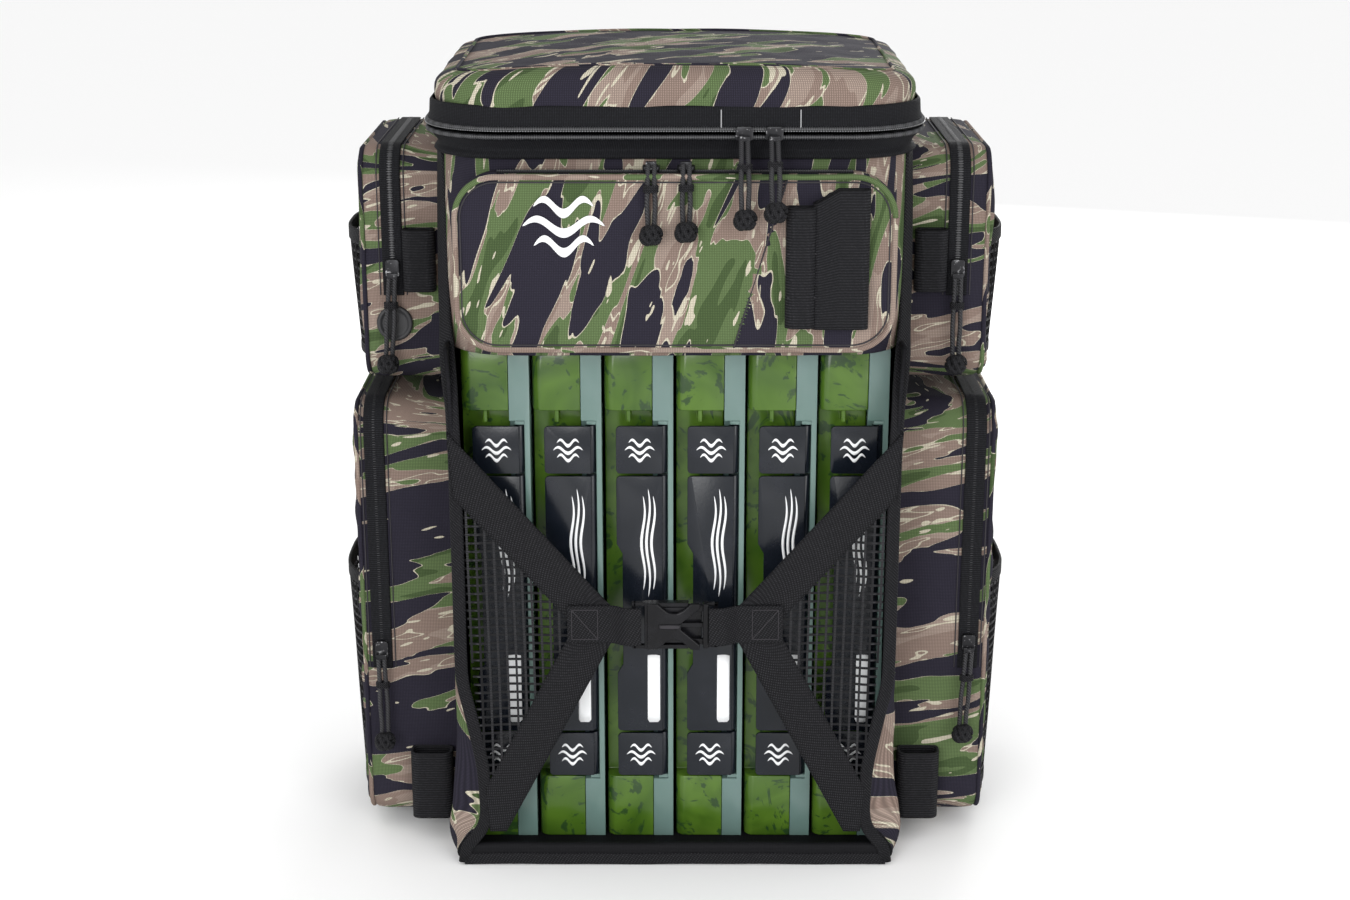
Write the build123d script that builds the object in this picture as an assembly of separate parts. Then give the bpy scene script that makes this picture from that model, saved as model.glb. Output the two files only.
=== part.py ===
"""A tackle backpack: an open-fronted bay for six upright tackle trays, held by a Y harness with a side-release
buckle, under a zipped top compartment with a hinged lid, with a front pocket, four side pockets and a padded
back. Millimetres. +X is to the right of someone facing the front, +Y goes to the back, +Z is up, and z = 0 is
the face that the bag stands on."""

import os
from math import radians, tan

from build123d import *

# ---- driving dimensions ----
TRAY_COUNT = 6
PITCH = 48.0                      # spacing of the upright trays
TRAY_WIDE, TRAY_DEEP, TRAY_TALL = 46.0, 220.0, 356.0
FLOOR_T, WALL_T, BACK_T = 8.0, 5.0, 8.0
BAY_HALF = TRAY_COUNT * PITCH / 2 + 1.5
HALF_WIDE = BAY_HALF + WALL_T     # outer half width of the body
FRONT_Y, BAY_BACK_Y = -135.0, 112.0
BACK_Y = BAY_BACK_Y + BACK_T
ROOF_Z, ROOF_T = 368.0, 5.0       # padded shelf between the trays and the top compartment
RIM_Z = 511.0                     # where the lid's zip closes
LID_TOP_Z = 553.0
CORNER_R = 44.0                   # upright corners at the front of the top compartment
TRAY_FRONT_Y = -110.0
TRAY_Z = FLOOR_T + 0.4
POCKET_HALF, POCKET_Z0, POCKET_Z1, POCKET_FRONT_Y = 140.0, 374.0, 488.0, -158.0
UPPER_POCKET = dict(out=62.0, y0=-72.0, y1=80.0, z0=331.0, z1=491.0)
LOWER_POCKET = dict(out=70.0, y0=-88.0, y1=90.0, z0=12.0, z1=320.0)
POCKET_WALL = 3.0
UPPER_ZIP_X, LOWER_ZIP_X = 189.5, 205.0
UPPER_ZIP_END, LOWER_ZIP_END = 392.0, 128.0
ZIP_WIDE = 14.0                   # tape and coil together, on the pockets
HARNESS_Y = -139.5                # front face of the harness webbing
WEB_T, WEB_WIDE = 1.8, 28.0
BUCKLE_Z = 181.0
CORD_D, KNOT_D = 3.2, 14.0
GAP = 0.3                         # clearance between parts that move past each other

os.makedirs("parts", exist_ok=True)


def block(x0, x1, y0, y1, z0, z1):
    """A box between two corners."""
    size = (abs(x1 - x0), abs(y1 - y0), abs(z1 - z0))
    return Pos((x0 + x1) / 2, (y0 + y1) / 2, (z0 + z1) / 2) * Box(*size)


def upright(points, z0, z1):
    """A prism on an outline in plan."""
    return Pos(0, 0, z0) * extrude(make_face(Polyline(*points, close=True)), z1 - z0)


def facing(outline, y_front, y_back):
    """A prism on an outline drawn in X and Z, from y_front back to y_back."""
    face = Plane.XZ.offset(-y_back) * make_face(outline)
    return extrude(face, y_back - y_front)


def sideways(points, x0, x1):
    """A prism on an outline drawn in Y and Z, from x0 to x1."""
    face = Plane.YZ.offset(x0) * make_face(Polyline(*points, close=True))
    return extrude(face, x1 - x0)


def mirrored(shape):
    return mirror(shape, Plane.YZ)


def save(name, *solids):
    shape = solids[0] if len(solids) == 1 else Compound(children=list(solids))
    export_step(shape, f"parts/{name}.step")


def top_plan(grow):
    """The plan of the top compartment, grown outwards: square at the back, rounded at the front."""
    half, front, radius = HALF_WIDE + grow, FRONT_Y - grow, CORNER_R + grow
    line = FilletPolyline((half, BACK_Y), (half, front), (-half, front), (-half, BACK_Y), radius=radius)
    return make_face(Curve() + [line, Line((-half, BACK_Y), (half, BACK_Y))])


def top_ring(grow, thick, z0, z1):
    """An upright wall that follows that plan, thick inwards from its outer face, open at the back."""
    outer = extrude(Pos(0, 0, z0) * top_plan(grow), z1 - z0)
    inner = extrude(Pos(0, 0, z0) * top_plan(grow - thick), z1 - z0)
    return outer - inner - block(-300, 300, BACK_Y - thick - 1, BACK_Y + 1, z0, z1)


# ---- the body: walls, floor, back, top compartment ----
def side_wall():
    """The right side wall: full depth beside the trays, and above them back to where the corner rounds off."""
    low = block(BAY_HALF, HALF_WIDE, FRONT_Y, BAY_BACK_Y, FLOOR_T, ROOF_Z)
    high = block(BAY_HALF, HALF_WIDE, FRONT_Y + CORNER_R, BAY_BACK_Y, ROOF_Z, RIM_Z - 1)
    return low + high


def base_boot():
    """The wipe-clean floor with the low lip and welt in front of the trays."""
    floor = block(-HALF_WIDE, HALF_WIDE, FRONT_Y, BACK_Y, 0, FLOOR_T)
    floor = fillet(floor.edges().filter_by(Axis.Z), 6)
    floor = chamfer(floor.edges().group_by(Axis.Z)[0], 1.5)
    lip = block(-BAY_HALF + 0.2, BAY_HALF - 0.2, FRONT_Y, FRONT_Y + 4, FLOOR_T, FLOOR_T + 6)
    return floor + lip


def back_wall():
    """The padded back, with the slot that its stiffener stands in."""
    wall = block(-HALF_WIDE, HALF_WIDE, BAY_BACK_Y, BACK_Y, FLOOR_T, RIM_Z - 1)
    slot = block(-128.5, 128.5, 114.7, 117.3, 29.5, RIM_Z)
    return wall - slot


def frame_sheet():
    sheet = block(-128, 128, 115, 117, 30, 480)
    return fillet(sheet.edges().filter_by(Axis.Y), 18)


def upper_tub():
    """The padded shelf over the trays and the round-cornered front wall above it, sewn as one."""
    shelf = block(-BAY_HALF, BAY_HALF, FRONT_Y + CORNER_R, BAY_BACK_Y, ROOF_Z, ROOF_Z + ROOF_T)
    plan = top_plan(0) & Pos(0, FRONT_Y) * Rectangle(400, 2 * CORNER_R)
    apron = extrude(Pos(0, 0, ROOF_Z) * plan, ROOF_T)
    wall = top_ring(0, WALL_T, ROOF_Z, RIM_Z - 1)
    wall -= block(-300, 300, FRONT_Y + CORNER_R, 300, 0, 600)
    return shelf + apron + wall


# ---- the lid ----
def lid_plan(grow):
    half, front, back = HALF_WIDE + grow, FRONT_Y - grow, BACK_Y - 6 + grow
    line = FilletPolyline((half, back), (half, front), (-half, front), (-half, back), radius=CORNER_R + grow)
    return make_face(Curve() + [line, Line((-half, back), (half, back))])


def lid_block(grow, top):
    """The lid as a solid: upright beside the zip, then drawn in towards a flat top."""
    waist = RIM_Z + 18
    low = extrude(Pos(0, 0, RIM_Z + 2) * lid_plan(grow), waist - RIM_Z - 2)
    low_face = Pos(0, 0, waist) * lid_plan(grow)
    high_face = Pos(0, 0, top) * lid_plan(grow - 14)
    return low + loft([low_face, high_face])


def lid_shell():
    shell = lid_block(4, LID_TOP_Z) - lid_block(0.5, LID_TOP_Z - 4)
    return shell - block(-300, 300, -300, 300, RIM_Z - 5, RIM_Z + 2)


def lid_zip():
    """The upper tape, with its half of the coil along the lower edge."""
    tape = top_ring(5.6, 1.4, RIM_Z + 3, RIM_Z + 17)
    coil = top_ring(6.8, 1.2, RIM_Z + 1, RIM_Z + 4)
    both = tape + coil
    return both - block(-300, 300, BACK_Y - 12, 300, 0, 600)


# ---- pockets ----
def front_pocket():
    shape = Rectangle(2 * POCKET_HALF, POCKET_Z1 - POCKET_Z0)
    shape = fillet(shape.vertices(), 27)
    place = Plane.XZ.offset(-FRONT_Y) * Pos(0, (POCKET_Z0 + POCKET_Z1) / 2)
    depth = FRONT_Y - POCKET_FRONT_Y
    outer = extrude(place * shape, depth)
    outer = fillet(outer.faces().sort_by(Axis.Y)[0].edges(), 9)
    hollow = offset(shape, -4)
    return outer - Pos(0, -2.5, 0) * extrude(place * hollow, depth - 5.5)


def side_pocket(out, y0, y1, z0, z1):
    """A right side pocket: a rounded box, hollow, closed by the zip that runs up its front and over its top."""
    x0 = HALF_WIDE
    x1 = HALF_WIDE + out
    outer = block(x0, x1, y0, y1, z0, z1)
    outer = fillet(outer.edges().filter_by(Axis.X), 20)
    outer = fillet(outer.faces().sort_by(Axis.X)[-1].edges(), 8)
    w = POCKET_WALL
    inner = block(x0 + w, x1 - w, y0 + w, y1 - w, z0 + w, z1 - w)
    inner = fillet(inner.edges().filter_by(Axis.X), 17)
    return outer - inner


def mesh_cup(pocket, z0, z1, out, y0, y1):
    """A stretch mesh pocket on the outer face of a side pocket: open at the top, and bellied out."""
    x0 = HALF_WIDE + pocket["out"] + GAP
    outer = [(x0, y0), (x0 + out, y0 + 18), (x0 + out, y1 - 18), (x0, y1)]
    inner = [(x0 + 1.5, y0 + 4), (x0 + out - 1.2, y0 + 19), (x0 + out - 1.2, y1 - 19), (x0 + 1.5, y1 - 4)]
    return upright(outer, z0, z1) - upright(inner, z0 + 1.5, z1)


def side_mesh():
    low = mesh_cup(LOWER_POCKET, 20, 180, 15, -52, 58)
    high = mesh_cup(UPPER_POCKET, 345, 425, 13, -40, 50)
    return [low, high, mirrored(low), mirrored(high)]


def cable_port():
    """A round rubber cable port with a slit in it, below the end of the upper left side pocket's zip."""
    at = Pos(-UPPER_ZIP_X, UPPER_POCKET["y0"] - 1.22, 372.5)
    plug = at * Rot(90, 0, 0) * extrude(Circle(12), 1.0, both=True)
    slit = at * Rot(0, 8, 0) * Box(1.2, 8, 13)
    return plug - slit


# ---- zip tapes that belong to the body ----
def front_strip(x, wide, y, z0, z1, thick):
    return block(x - wide / 2, x + wide / 2, y - thick, y, z0, z1)


def pocket_zip(x, z0, pocket):
    """The tape and coil up the front of a side pocket from z0, and over its rounded top."""
    y0, z1 = pocket["y0"], pocket["z1"]
    face = y0 - 0.02
    tape = front_strip(x, ZIP_WIDE, face, z0, z1 - 20, 1.0)
    coil = front_strip(x, 4.4, face - 1.0, z0, z1 - 20, 1.0)
    over = Pos(x, y0 + 20, z1 - 20) * Rot(0, 90, 0) * Cylinder(21.02, ZIP_WIDE)
    over -= Pos(x, y0 + 20, z1 - 20) * Rot(0, 90, 0) * Cylinder(20.02, ZIP_WIDE + 1)
    over &= block(x - 20, x + 20, y0 - 5, y0 + 20, z1 - 20, z1 + 5)
    top = block(x - ZIP_WIDE / 2, x + ZIP_WIDE / 2, y0 + 20, pocket["y1"] - 20, z1 + 0.02, z1 + 1.02)
    return tape + coil + over + top


def zip_tapes():
    """The lid's lower tape and welt, the front pocket's zip, and the four side pockets' zips."""
    tape = top_ring(1.5, 1.5 - 0.02, RIM_Z - 16, RIM_Z - 1)
    welt = top_ring(2.6, 2.6 - 0.02, RIM_Z - 19.5, RIM_Z - 16)
    coil = top_ring(6.4, 4.9 - 0.02, RIM_Z - 4, RIM_Z - 1)
    ring = tape + welt + coil - block(-300, 300, BACK_Y - 12, 300, 0, 600)
    pocket_track = block(-112, 112, FRONT_Y - 17, FRONT_Y - 7, POCKET_Z1 + 0.02, POCKET_Z1 + 1.1)
    rows = [ring, pocket_track]
    for x, z0, pocket in ((UPPER_ZIP_X, UPPER_ZIP_END, UPPER_POCKET), (LOWER_ZIP_X, LOWER_ZIP_END, LOWER_POCKET)):
        one = pocket_zip(x, z0, pocket)
        rows += [one, mirrored(one)]
    return rows


# ---- webbing sheath on the front pocket, and the loops on the side pockets ----
def tube(x0, x1, y0, y1, z0, z1, wall):
    return block(x0, x1, y0, y1, z0, z1) - block(x0 + wall, x1 - wall, y0 + wall, y1 - wall, z0 - 1, z1 + 1)


def webbing_holders():
    face = POCKET_FRONT_Y - 0.02
    narrow = tube(71, 87.5, face - 10, face, 392, 469, 1.6)
    wide = tube(87.8, 121, face - 8, face, 391, 480, 1.6)
    low_y = LOWER_POCKET["y0"] - 0.02
    low = tube(159, 185, low_y - 13, low_y, 18, 68, 1.8)
    high_y = UPPER_POCKET["y0"] - 0.02
    high = tube(162, 180.5, high_y - 9, high_y, 396, 438, 1.8)
    return [narrow, wide, low, high, mirrored(low), mirrored(high)]


# ---- the carrying side ----
def back_pads():
    """Three ventilated pads, with channels between them for air."""
    rows = []
    for z0, z1 in ((60, 170), (190, 300), (320, 430)):
        pad = block(-118, 118, BACK_Y + 0.02, BACK_Y + 13, z0, z1)
        pad = fillet(pad.edges().filter_by(Axis.Y), 14)
        rows.append(fillet(pad.faces().sort_by(Axis.Y)[-1].edges(), 5))
    return rows


def shoulder_straps():
    """Two padded straps, sewn in near the top of the back, that stand off it and run down to the adjusters."""
    y = BACK_Y
    side = [(y + 0.02, 462), (y + 20, 478), (y + 34, 466), (y + 37, 440), (y + 30, 205), (y + 17, 205),
            (y + 24, 440), (y + 20, 457), (y + 0.02, 446)]
    strap = sideways(side, 42, 104)
    strap = chamfer(strap.edges().filter_by(Axis.X).sort_by(Axis.Z)[0:2], 3)
    return [strap, mirrored(strap)]


def strap_webbing():
    """The adjusting webs from the straps' lower ends to the base, and the sternum strap across."""
    y = BACK_Y
    run = [(y + 22.5, 204.8), (y + 24.5, 204.8), (y + 17.5, 56), (y + 2, 26), (y + 0.02, 26), (y + 0.02, 32),
           (y + 15.5, 58)]
    low = sideways(run, 61, 86)
    chest = block(13, 41.8, y + 27, y + 29, 350, 370)
    return [low, mirrored(low), chest, mirrored(chest)]


def strap_hardware():
    """A ladder-lock adjuster on each strap, and the small buckle on the sternum strap."""
    y = BACK_Y
    lock = block(57, 90, y + 25.2, y + 31, 176, 200)
    lock -= block(60.5, 86.5, y + 20, y + 40, 181, 186)
    lock -= block(60.5, 86.5, y + 20, y + 40, 190, 195)
    buckle = block(-12.8, 12.8, y + 24, y + 32, 347, 373)
    return [lock, mirrored(lock), fillet(buckle.edges().filter_by(Axis.Y), 4)]


def haul_handle():
    """A padded webbing loop that hangs from the top of the back between the straps and lifts on its two ends."""
    y = BACK_Y + 4.5
    whole = Pos(0, y + 5, 446) * Rot(0, 90, 0) * Cylinder(7, 62)
    for side in (-1, 1):
        leg = [(y, 488), (y + 2, 488), (y + 6, 462), (y + 6, 446), (y + 4, 446), (y + 4, 460)]
        whole += sideways(leg, side * 31 - 6, side * 31 + 6)
    return whole


# ---- the Y harness ----
def strip(a, b, wide, y_front, thick):
    """A flat web from a to b, both in X and Z."""
    along = Vector(b[0] - a[0], 0, b[1] - a[1])
    across = Vector(-along.Z, 0, along.X).normalized() * (wide / 2)
    corners = [(a[0] + across.X, a[1] + across.Z), (b[0] + across.X, b[1] + across.Z),
               (b[0] - across.X, b[1] - across.Z), (a[0] - across.X, a[1] - across.Z)]
    return facing(Polyline(*corners, close=True), y_front, y_front + thick)


HINGE_TOP, HINGE_FOOT = (149.5, 299.0), (130.0, 38.0)


def wing():
    """The right half of the harness: two webs that meet in a short strap, and the mesh between them."""
    y = HARNESS_Y
    centre = (58, BUCKLE_Z)
    upper = strip(centre, (150, 287), WEB_WIDE, y, WEB_T)
    lower = strip(centre, (128, 38), WEB_WIDE, y, WEB_T)
    short = strip((34, BUCKLE_Z), (72, BUCKLE_Z), WEB_WIDE, y, WEB_T)
    mesh = facing(Polyline((58, BUCKLE_Z), (147.8, 290), (130.5, 52), close=True), y + 0.4, y + 1.4)
    whole = upper + lower + short + mesh
    edge = [(HINGE_TOP[0] - 1.0, 320), (HINGE_TOP[0] - 0.5, HINGE_TOP[1]), (HINGE_FOOT[0] - 0.5, HINGE_FOOT[1]),
            (HINGE_FOOT[0] - 2.0, 0), (0, 0), (0, 320)]
    keep = facing(Polyline(*edge, close=True), y - 5, y + 8)
    floor = facing(Polyline((0, 18), (200, 18), (200, 310), (0, 310), close=True), y - 5, y + 8)
    return whole & keep & floor


def buckle_female():
    """The housing on the left web: a slotted front plate, top and bottom rails, and a web bar."""
    y, z = HARNESS_Y, BUCKLE_Z
    plate = block(-19, 12, y - 6.5, y - 4.5, z - 16.5, z + 16.5)
    plate -= block(-12, 4, y - 8, y - 4, z - 2.5, z + 2.5)
    rails = block(-19, 9, y - 6.5, y + 1.5, z + 13.5, z + 16.5) + block(-19, 9, y - 6.5, y + 1.5, z - 16.5, z - 13.5)
    end = block(-22, -17.5, y - 6.5, y + 1.5, z - 16.5, z + 16.5)
    loop = block(-33, -22, y - 4.5, y + 1.5, z - 16.5, z + 16.5)
    loop -= block(-30, -22, y - 6, y + 3, z - 14.3, z + 14.3)
    return plate + rails + end + loop


def buckle_male():
    """The plug on the right web: a middle guide and two tongues with catches, and a web bar."""
    y, z = HARNESS_Y, BUCKLE_Z
    body = block(13, 20, y - 4, y + 1.2, z - 16, z + 16)
    guide = block(-8, 13, y - 3.6, y + 0.6, z - 2.2, z + 2.2)
    tongues = []
    for side in (-1, 1):
        arm = facing(Polyline((14, z + side * 13), (14, z + side * 8), (-10, z + side * 7.5),
                              (-15, z + side * 9.5), (-15, z + side * 12.8), (4, z + side * 12.8),
                              close=True), y - 3.6, y + 0.6)
        tongues.append(arm)
    loop = block(20, 33, y - 4, y + 1.2, z - 16, z + 16)
    loop -= block(20, 30, y - 6, y + 3, z - 14.3, z + 14.3)
    return body + guide + tongues[0] + tongues[1] + loop


# ---- trays ----
LATCH_X, LATCH_Y = 38.6, TRAY_FRONT_Y + 3.0
LATCH_PARTS = ((278.0, 311.0), (90.0, 276.0), (56.0, 88.0))
KNUCKLE_R = 3.3


def tray_base(x):
    """The coloured half: a shallow box that opens to the right, cut back behind the latch for fingers."""
    y0, y1, z0, z1 = TRAY_FRONT_Y, TRAY_FRONT_Y + TRAY_DEEP, TRAY_Z, TRAY_Z + TRAY_TALL
    outer = block(x, x + 32, y0, y1, z0, z1)
    outer = fillet(outer.edges().filter_by(Axis.Z).group_by(Axis.X)[0], 7)
    outer -= block(x - 1, x + 40, y0 - 1, y0 + 13, z0 + 46, z1 - 43)
    outer += block(x + 14.5, x + 17.5, y0 + 3, y0 + 13, z1 - 52, z1 - 43)
    return outer - block(x + 2.2, x + 40, y0 + 15, y1 - 2.2, z0 + 2.2, z1 - 2.2)


def tray_lid(x):
    """The clear half, with the two ears that the latch bar turns between."""
    y0, y1, z0, z1 = TRAY_FRONT_Y, TRAY_FRONT_Y + TRAY_DEEP, TRAY_Z, TRAY_Z + TRAY_TALL
    outer = block(x + 32.3, x + TRAY_WIDE, y0, y1, z0, z1)
    outer -= block(x + 30, x + 42.4, y0 - 1, y0 + 8, z0 + 44, z1 - 50)
    shell = outer - block(x + 30, x + TRAY_WIDE - 1.6, y0 + 9.6, y1 - 1.6, z0 + 1.6, z1 - 1.6)
    ears = []
    for end, step in ((LATCH_PARTS[0][1], 1), (LATCH_PARTS[2][0], -1)):
        low, high = sorted((end + step * 0.6, end + step * 3.0))
        ears.append(block(x + 36, x + 42.5, LATCH_Y - 2.5, y0 + 8.5, low, high))
    return shell + ears[0] + ears[1]


def tray_latch(x):
    """The latch bar: a long grip plate between two end caps, on knuckles along the lid's front edge."""
    rows = []
    for index, (z0, z1) in enumerate(LATCH_PARTS):
        plate = block(x + 7.6, x + LATCH_X, TRAY_FRONT_Y - 2, TRAY_FRONT_Y + 0.6, z0, z1)
        plate = fillet(plate.edges().filter_by(Axis.Y).group_by(Axis.X)[0], 3)
        if index == 1:
            notch = Polyline((x, 133), (x + 7.6, 133), (x + 11.5, 140), (x + 11.5, 221), (x + 7.6, 228), (x, 228),
                             close=True)
            plate -= facing(notch, TRAY_FRONT_Y - 5, TRAY_FRONT_Y + 5)
        knuckle = Pos(x + LATCH_X, LATCH_Y, (z0 + z1) / 2) * Cylinder(KNUCKLE_R, z1 - z0)
        rows.append(plate + knuckle)
    return rows


# ---- zip sliders and their cord pulls ----
def upright_slider(x, y, z, along_x):
    """A slider in front of an upright coil, with the bridge that its pull hangs from."""
    long, wide = (11.0, 9.0) if along_x else (9.0, 12.0)
    body = block(x - long / 2, x + long / 2, y - 3.0, y, z - wide / 2, z + wide / 2)
    bridge = block(x - 3.5, x + 3.5, y - 6.0, y - 3.0, z - wide / 2, z - wide / 2 + 3.2)
    return fillet(body.edges().filter_by(Axis.Y), 2) + bridge


def flat_slider(x, y, z):
    """The same slider lying on the front pocket's top: z is its underside, y its front edge."""
    body = block(x - 5.5, x + 5.5, y, y + 9, z, z + 3)
    bridge = block(x - 3.5, x + 3.5, y, y + 3.2, z + 3, z + 6)
    return fillet(body.edges().filter_by(Axis.Z), 2) + bridge


def cord(points, diameter):
    """A tube on straight runs with an arc at each corner, about as large as the shorter run there allows."""
    places = [Vector(*p) for p in points]
    radii = []
    for a, b, c in zip(places, places[1:], places[2:]):
        turn = radians((b - a).get_angle(c - b))
        radii.append(0.45 * min((b - a).length, (c - b).length) / tan(turn / 2))
    print("radii", [round(r, 1) for r in radii])
    path = FilletPolyline(*places, radius=radii)
    start = Plane(origin=path @ 0, z_dir=path % 0)
    return sweep(start * Circle(diameter / 2), path=path)


# A pull's loop, from its bridge down one side and up the other: the step across in millimetres, how much of
# the drop it has by then, and the step forwards into its knot in millimetres.
PULL_LOOP = ((-2.0, 0.0, 0), (-3.3, 0.27, 0), (-4.0, 0.56, 0), (-3.6, 0.83, 0), (-3.9, 1.0, 4),
             (3.8, 1.0, 4), (3.7, 0.82, 0), (4.1, 0.55, 0), (3.2, 0.26, 0), (2.0, 0.0, 0))
# How much of its lean it has at each of those points: a hanging pull swings out slowly, and one that lies
# over the pocket's edge comes forwards at once.
HANGING = (0.0, 0.52, 0.90, 1.0, 1.0, 1.0, 1.0, 0.91, 0.50, 0.0)
OVER_EDGE = (0.0, 1.10, 1.02, 1.0, 1.0, 1.0, 1.0, 1.02, 1.10, 0.0)


def pull(x, y, z, way, lean, drop, aside):
    """A cord loop and its stopper knot, from the bridge at x, y, z."""
    points = []
    for (across, down, forwards), out in zip(PULL_LOOP, way):
        points.append((x + across + aside * down, y - out * lean - forwards, z - down * drop))
    knot = Pos(x + aside, y - lean - 5.3, z - drop + 1.0) * Sphere(KNOT_D / 2)
    return [cord(points, CORD_D) - knot, knot]


LID_SLIDER_Y, FLAT_SLIDER_Y, FLAT_SLIDER_Z = -142.6, -152.5, POCKET_Z1 + 1.5
SLIDERS = {
    # name: (x, y, z, how it faces, its pull's lean, drop and step aside)
    "lid_left": (43.5, LID_SLIDER_Y, 512.0, "lid", 22.6, 45.5, 0.0),
    "lid_right": (62.5, LID_SLIDER_Y, 512.0, "lid", 22.6, 41.0, 0.0),
    "front_left": (-15.0, FLAT_SLIDER_Y, FLAT_SLIDER_Z, "flat", 7.9, 47.0, 0.0),
    "front_right": (7.0, FLAT_SLIDER_Y, FLAT_SLIDER_Z, "flat", 7.9, 47.0, 0.0),
    "upper_left": (-UPPER_ZIP_X, UPPER_POCKET["y0"] - 2.4, 411.0, "side", 0.8, 59.0, -4.0),
    "upper_right": (UPPER_ZIP_X, UPPER_POCKET["y0"] - 2.4, 411.0, "side", 0.8, 59.0, 0.0),
    "lower_left": (-LOWER_ZIP_X, LOWER_POCKET["y0"] - 2.4, 143.0, "side", 0.8, 61.0, 1.0),
    "lower_right": (LOWER_ZIP_X, LOWER_POCKET["y0"] - 2.4, 148.0, "side", 0.8, 60.0, -3.0),
}


def save_slider(name, x, y, z, how, lean, drop, aside):
    if how == "flat":
        save(f"slider_{name}", flat_slider(x, y, z))
        bridge = (x, y - 0.5, z + 4.0, OVER_EDGE)
    else:
        save(f"slider_{name}", upright_slider(x, y, z, how == "lid"))
        bridge = (x, y - 5.0, z - (4.5 if how == "lid" else 6.0), HANGING)
    save(f"pull_{name}", *pull(*bridge, lean, drop, aside))


def build():
    right_wall = side_wall()
    save("side_wall_right", right_wall)
    save("side_wall_left", mirrored(right_wall))
    save("base_boot", base_boot())
    save("back_wall", back_wall())
    save("frame_sheet", frame_sheet())
    save("upper_tub", upper_tub())
    save("lid_shell", lid_shell())
    save("lid_zip", lid_zip())
    save("front_pocket", front_pocket())
    for name, pocket in (("upper", UPPER_POCKET), ("lower", LOWER_POCKET)):
        right = side_pocket(**pocket)
        save(f"side_pocket_{name}_right", right)
        save(f"side_pocket_{name}_left", mirrored(right))
    save("side_mesh", *side_mesh())
    save("cable_port", cable_port())
    save("zip_tapes", *zip_tapes())
    save("webbing_holders", *webbing_holders())
    save("back_pads", *back_pads())
    save("shoulder_straps", *shoulder_straps())
    save("strap_webbing", *strap_webbing())
    save("strap_hardware", *strap_hardware())
    save("haul_handle", haul_handle())
    right_wing = wing()
    save("harness_right", right_wing)
    save("harness_left", mirrored(right_wing))
    save("buckle_female", buckle_female())
    save("buckle_male", buckle_male())
    for index in range(TRAY_COUNT):
        x = (index - TRAY_COUNT / 2) * PITCH + 0.8
        save(f"tray_base_{index + 1}", tray_base(x))
        save(f"tray_lid_{index + 1}", tray_lid(x))
        save(f"tray_latch_{index + 1}", *tray_latch(x))
    for name, values in SLIDERS.items():
        save_slider(name, *values)


build()
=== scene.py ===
"""A tackle backpack in striped camouflage cloth, with six upright trays behind a buckled Y harness."""
from math import pi, radians

import bmesh
import bpy
import numpy as np
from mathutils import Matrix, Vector


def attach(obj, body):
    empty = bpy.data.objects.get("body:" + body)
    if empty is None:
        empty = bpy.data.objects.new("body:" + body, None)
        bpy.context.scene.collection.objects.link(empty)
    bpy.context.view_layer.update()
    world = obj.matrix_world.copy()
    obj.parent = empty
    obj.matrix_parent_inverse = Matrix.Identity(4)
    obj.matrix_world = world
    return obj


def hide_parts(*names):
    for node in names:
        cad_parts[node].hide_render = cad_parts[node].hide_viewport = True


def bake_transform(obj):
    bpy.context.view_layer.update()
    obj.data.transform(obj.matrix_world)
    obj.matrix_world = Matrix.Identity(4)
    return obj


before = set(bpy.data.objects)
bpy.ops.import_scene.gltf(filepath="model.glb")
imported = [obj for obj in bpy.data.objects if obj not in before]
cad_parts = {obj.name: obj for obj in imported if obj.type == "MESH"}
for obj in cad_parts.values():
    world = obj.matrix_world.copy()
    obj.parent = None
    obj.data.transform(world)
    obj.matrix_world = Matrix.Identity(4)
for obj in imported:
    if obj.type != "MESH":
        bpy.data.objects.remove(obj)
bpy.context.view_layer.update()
SIDES = ((-1, "left"), (1, "right"))


# ---- The view, the floor and the lamps ----
# The bag stands on a plain pale floor. The camera is about a metre and a half away, a little above the lid.
# Broad lamps in front and behind, and an even white sky, keep the shadows soft.
scene = bpy.context.scene
camera = bpy.data.cameras.new("camera")
camera.lens, camera.sensor_width = 58.3, 36.0
eye = bpy.data.objects.new("camera", camera)
eye.location, eye.rotation_euler = (0.0, -1.513, 0.723), (radians(73.0), 0.0, 0.0)
scene.collection.objects.link(eye)
scene.camera = eye
scene.view_settings.view_transform = "Standard"


def node(tree, kind, links=(), **values):
    """A shader node: values set its properties or its sockets, links are (socket, output) pairs."""
    made = tree.nodes.new(kind)
    for key, value in values.items():
        name = key.replace("_", " ")
        if hasattr(made, key):
            setattr(made, key, value)
        else:
            made.inputs[name].default_value = value
    for socket, output in links:
        tree.links.new(output, made.inputs[socket])
    return made


def blended(tree, factor, low, high, start=0.0, end=1.0):
    """The colour output of a ramp from low at start to high at end, driven by that factor."""
    ramp = node(tree, "ShaderNodeValToRGB", [("Fac", factor)])
    for stop, colour, position in zip(ramp.color_ramp.elements, (low, high), (start, end)):
        stop.color, stop.position = (*colour, 1), position
    return ramp.outputs["Color"]


def bumped(tree, shader, height, strength, distance, normal=()):
    """A bump of that height in metres on the shader's normal."""
    bump = node(tree, "ShaderNodeBump", [("Height", height), *normal], Strength=strength, Distance=distance)
    tree.links.new(bump.outputs["Normal"], shader.inputs["Normal"])


def noise(tree, socket, scale, **values):
    """A noise on the object's own coordinates, or on the piece's UVs."""
    place = node(tree, "ShaderNodeTexCoord")
    made = node(tree, "ShaderNodeTexNoise", [("Vector", place.outputs[socket])], Scale=scale, **values)
    return made.outputs["Fac"]


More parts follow.
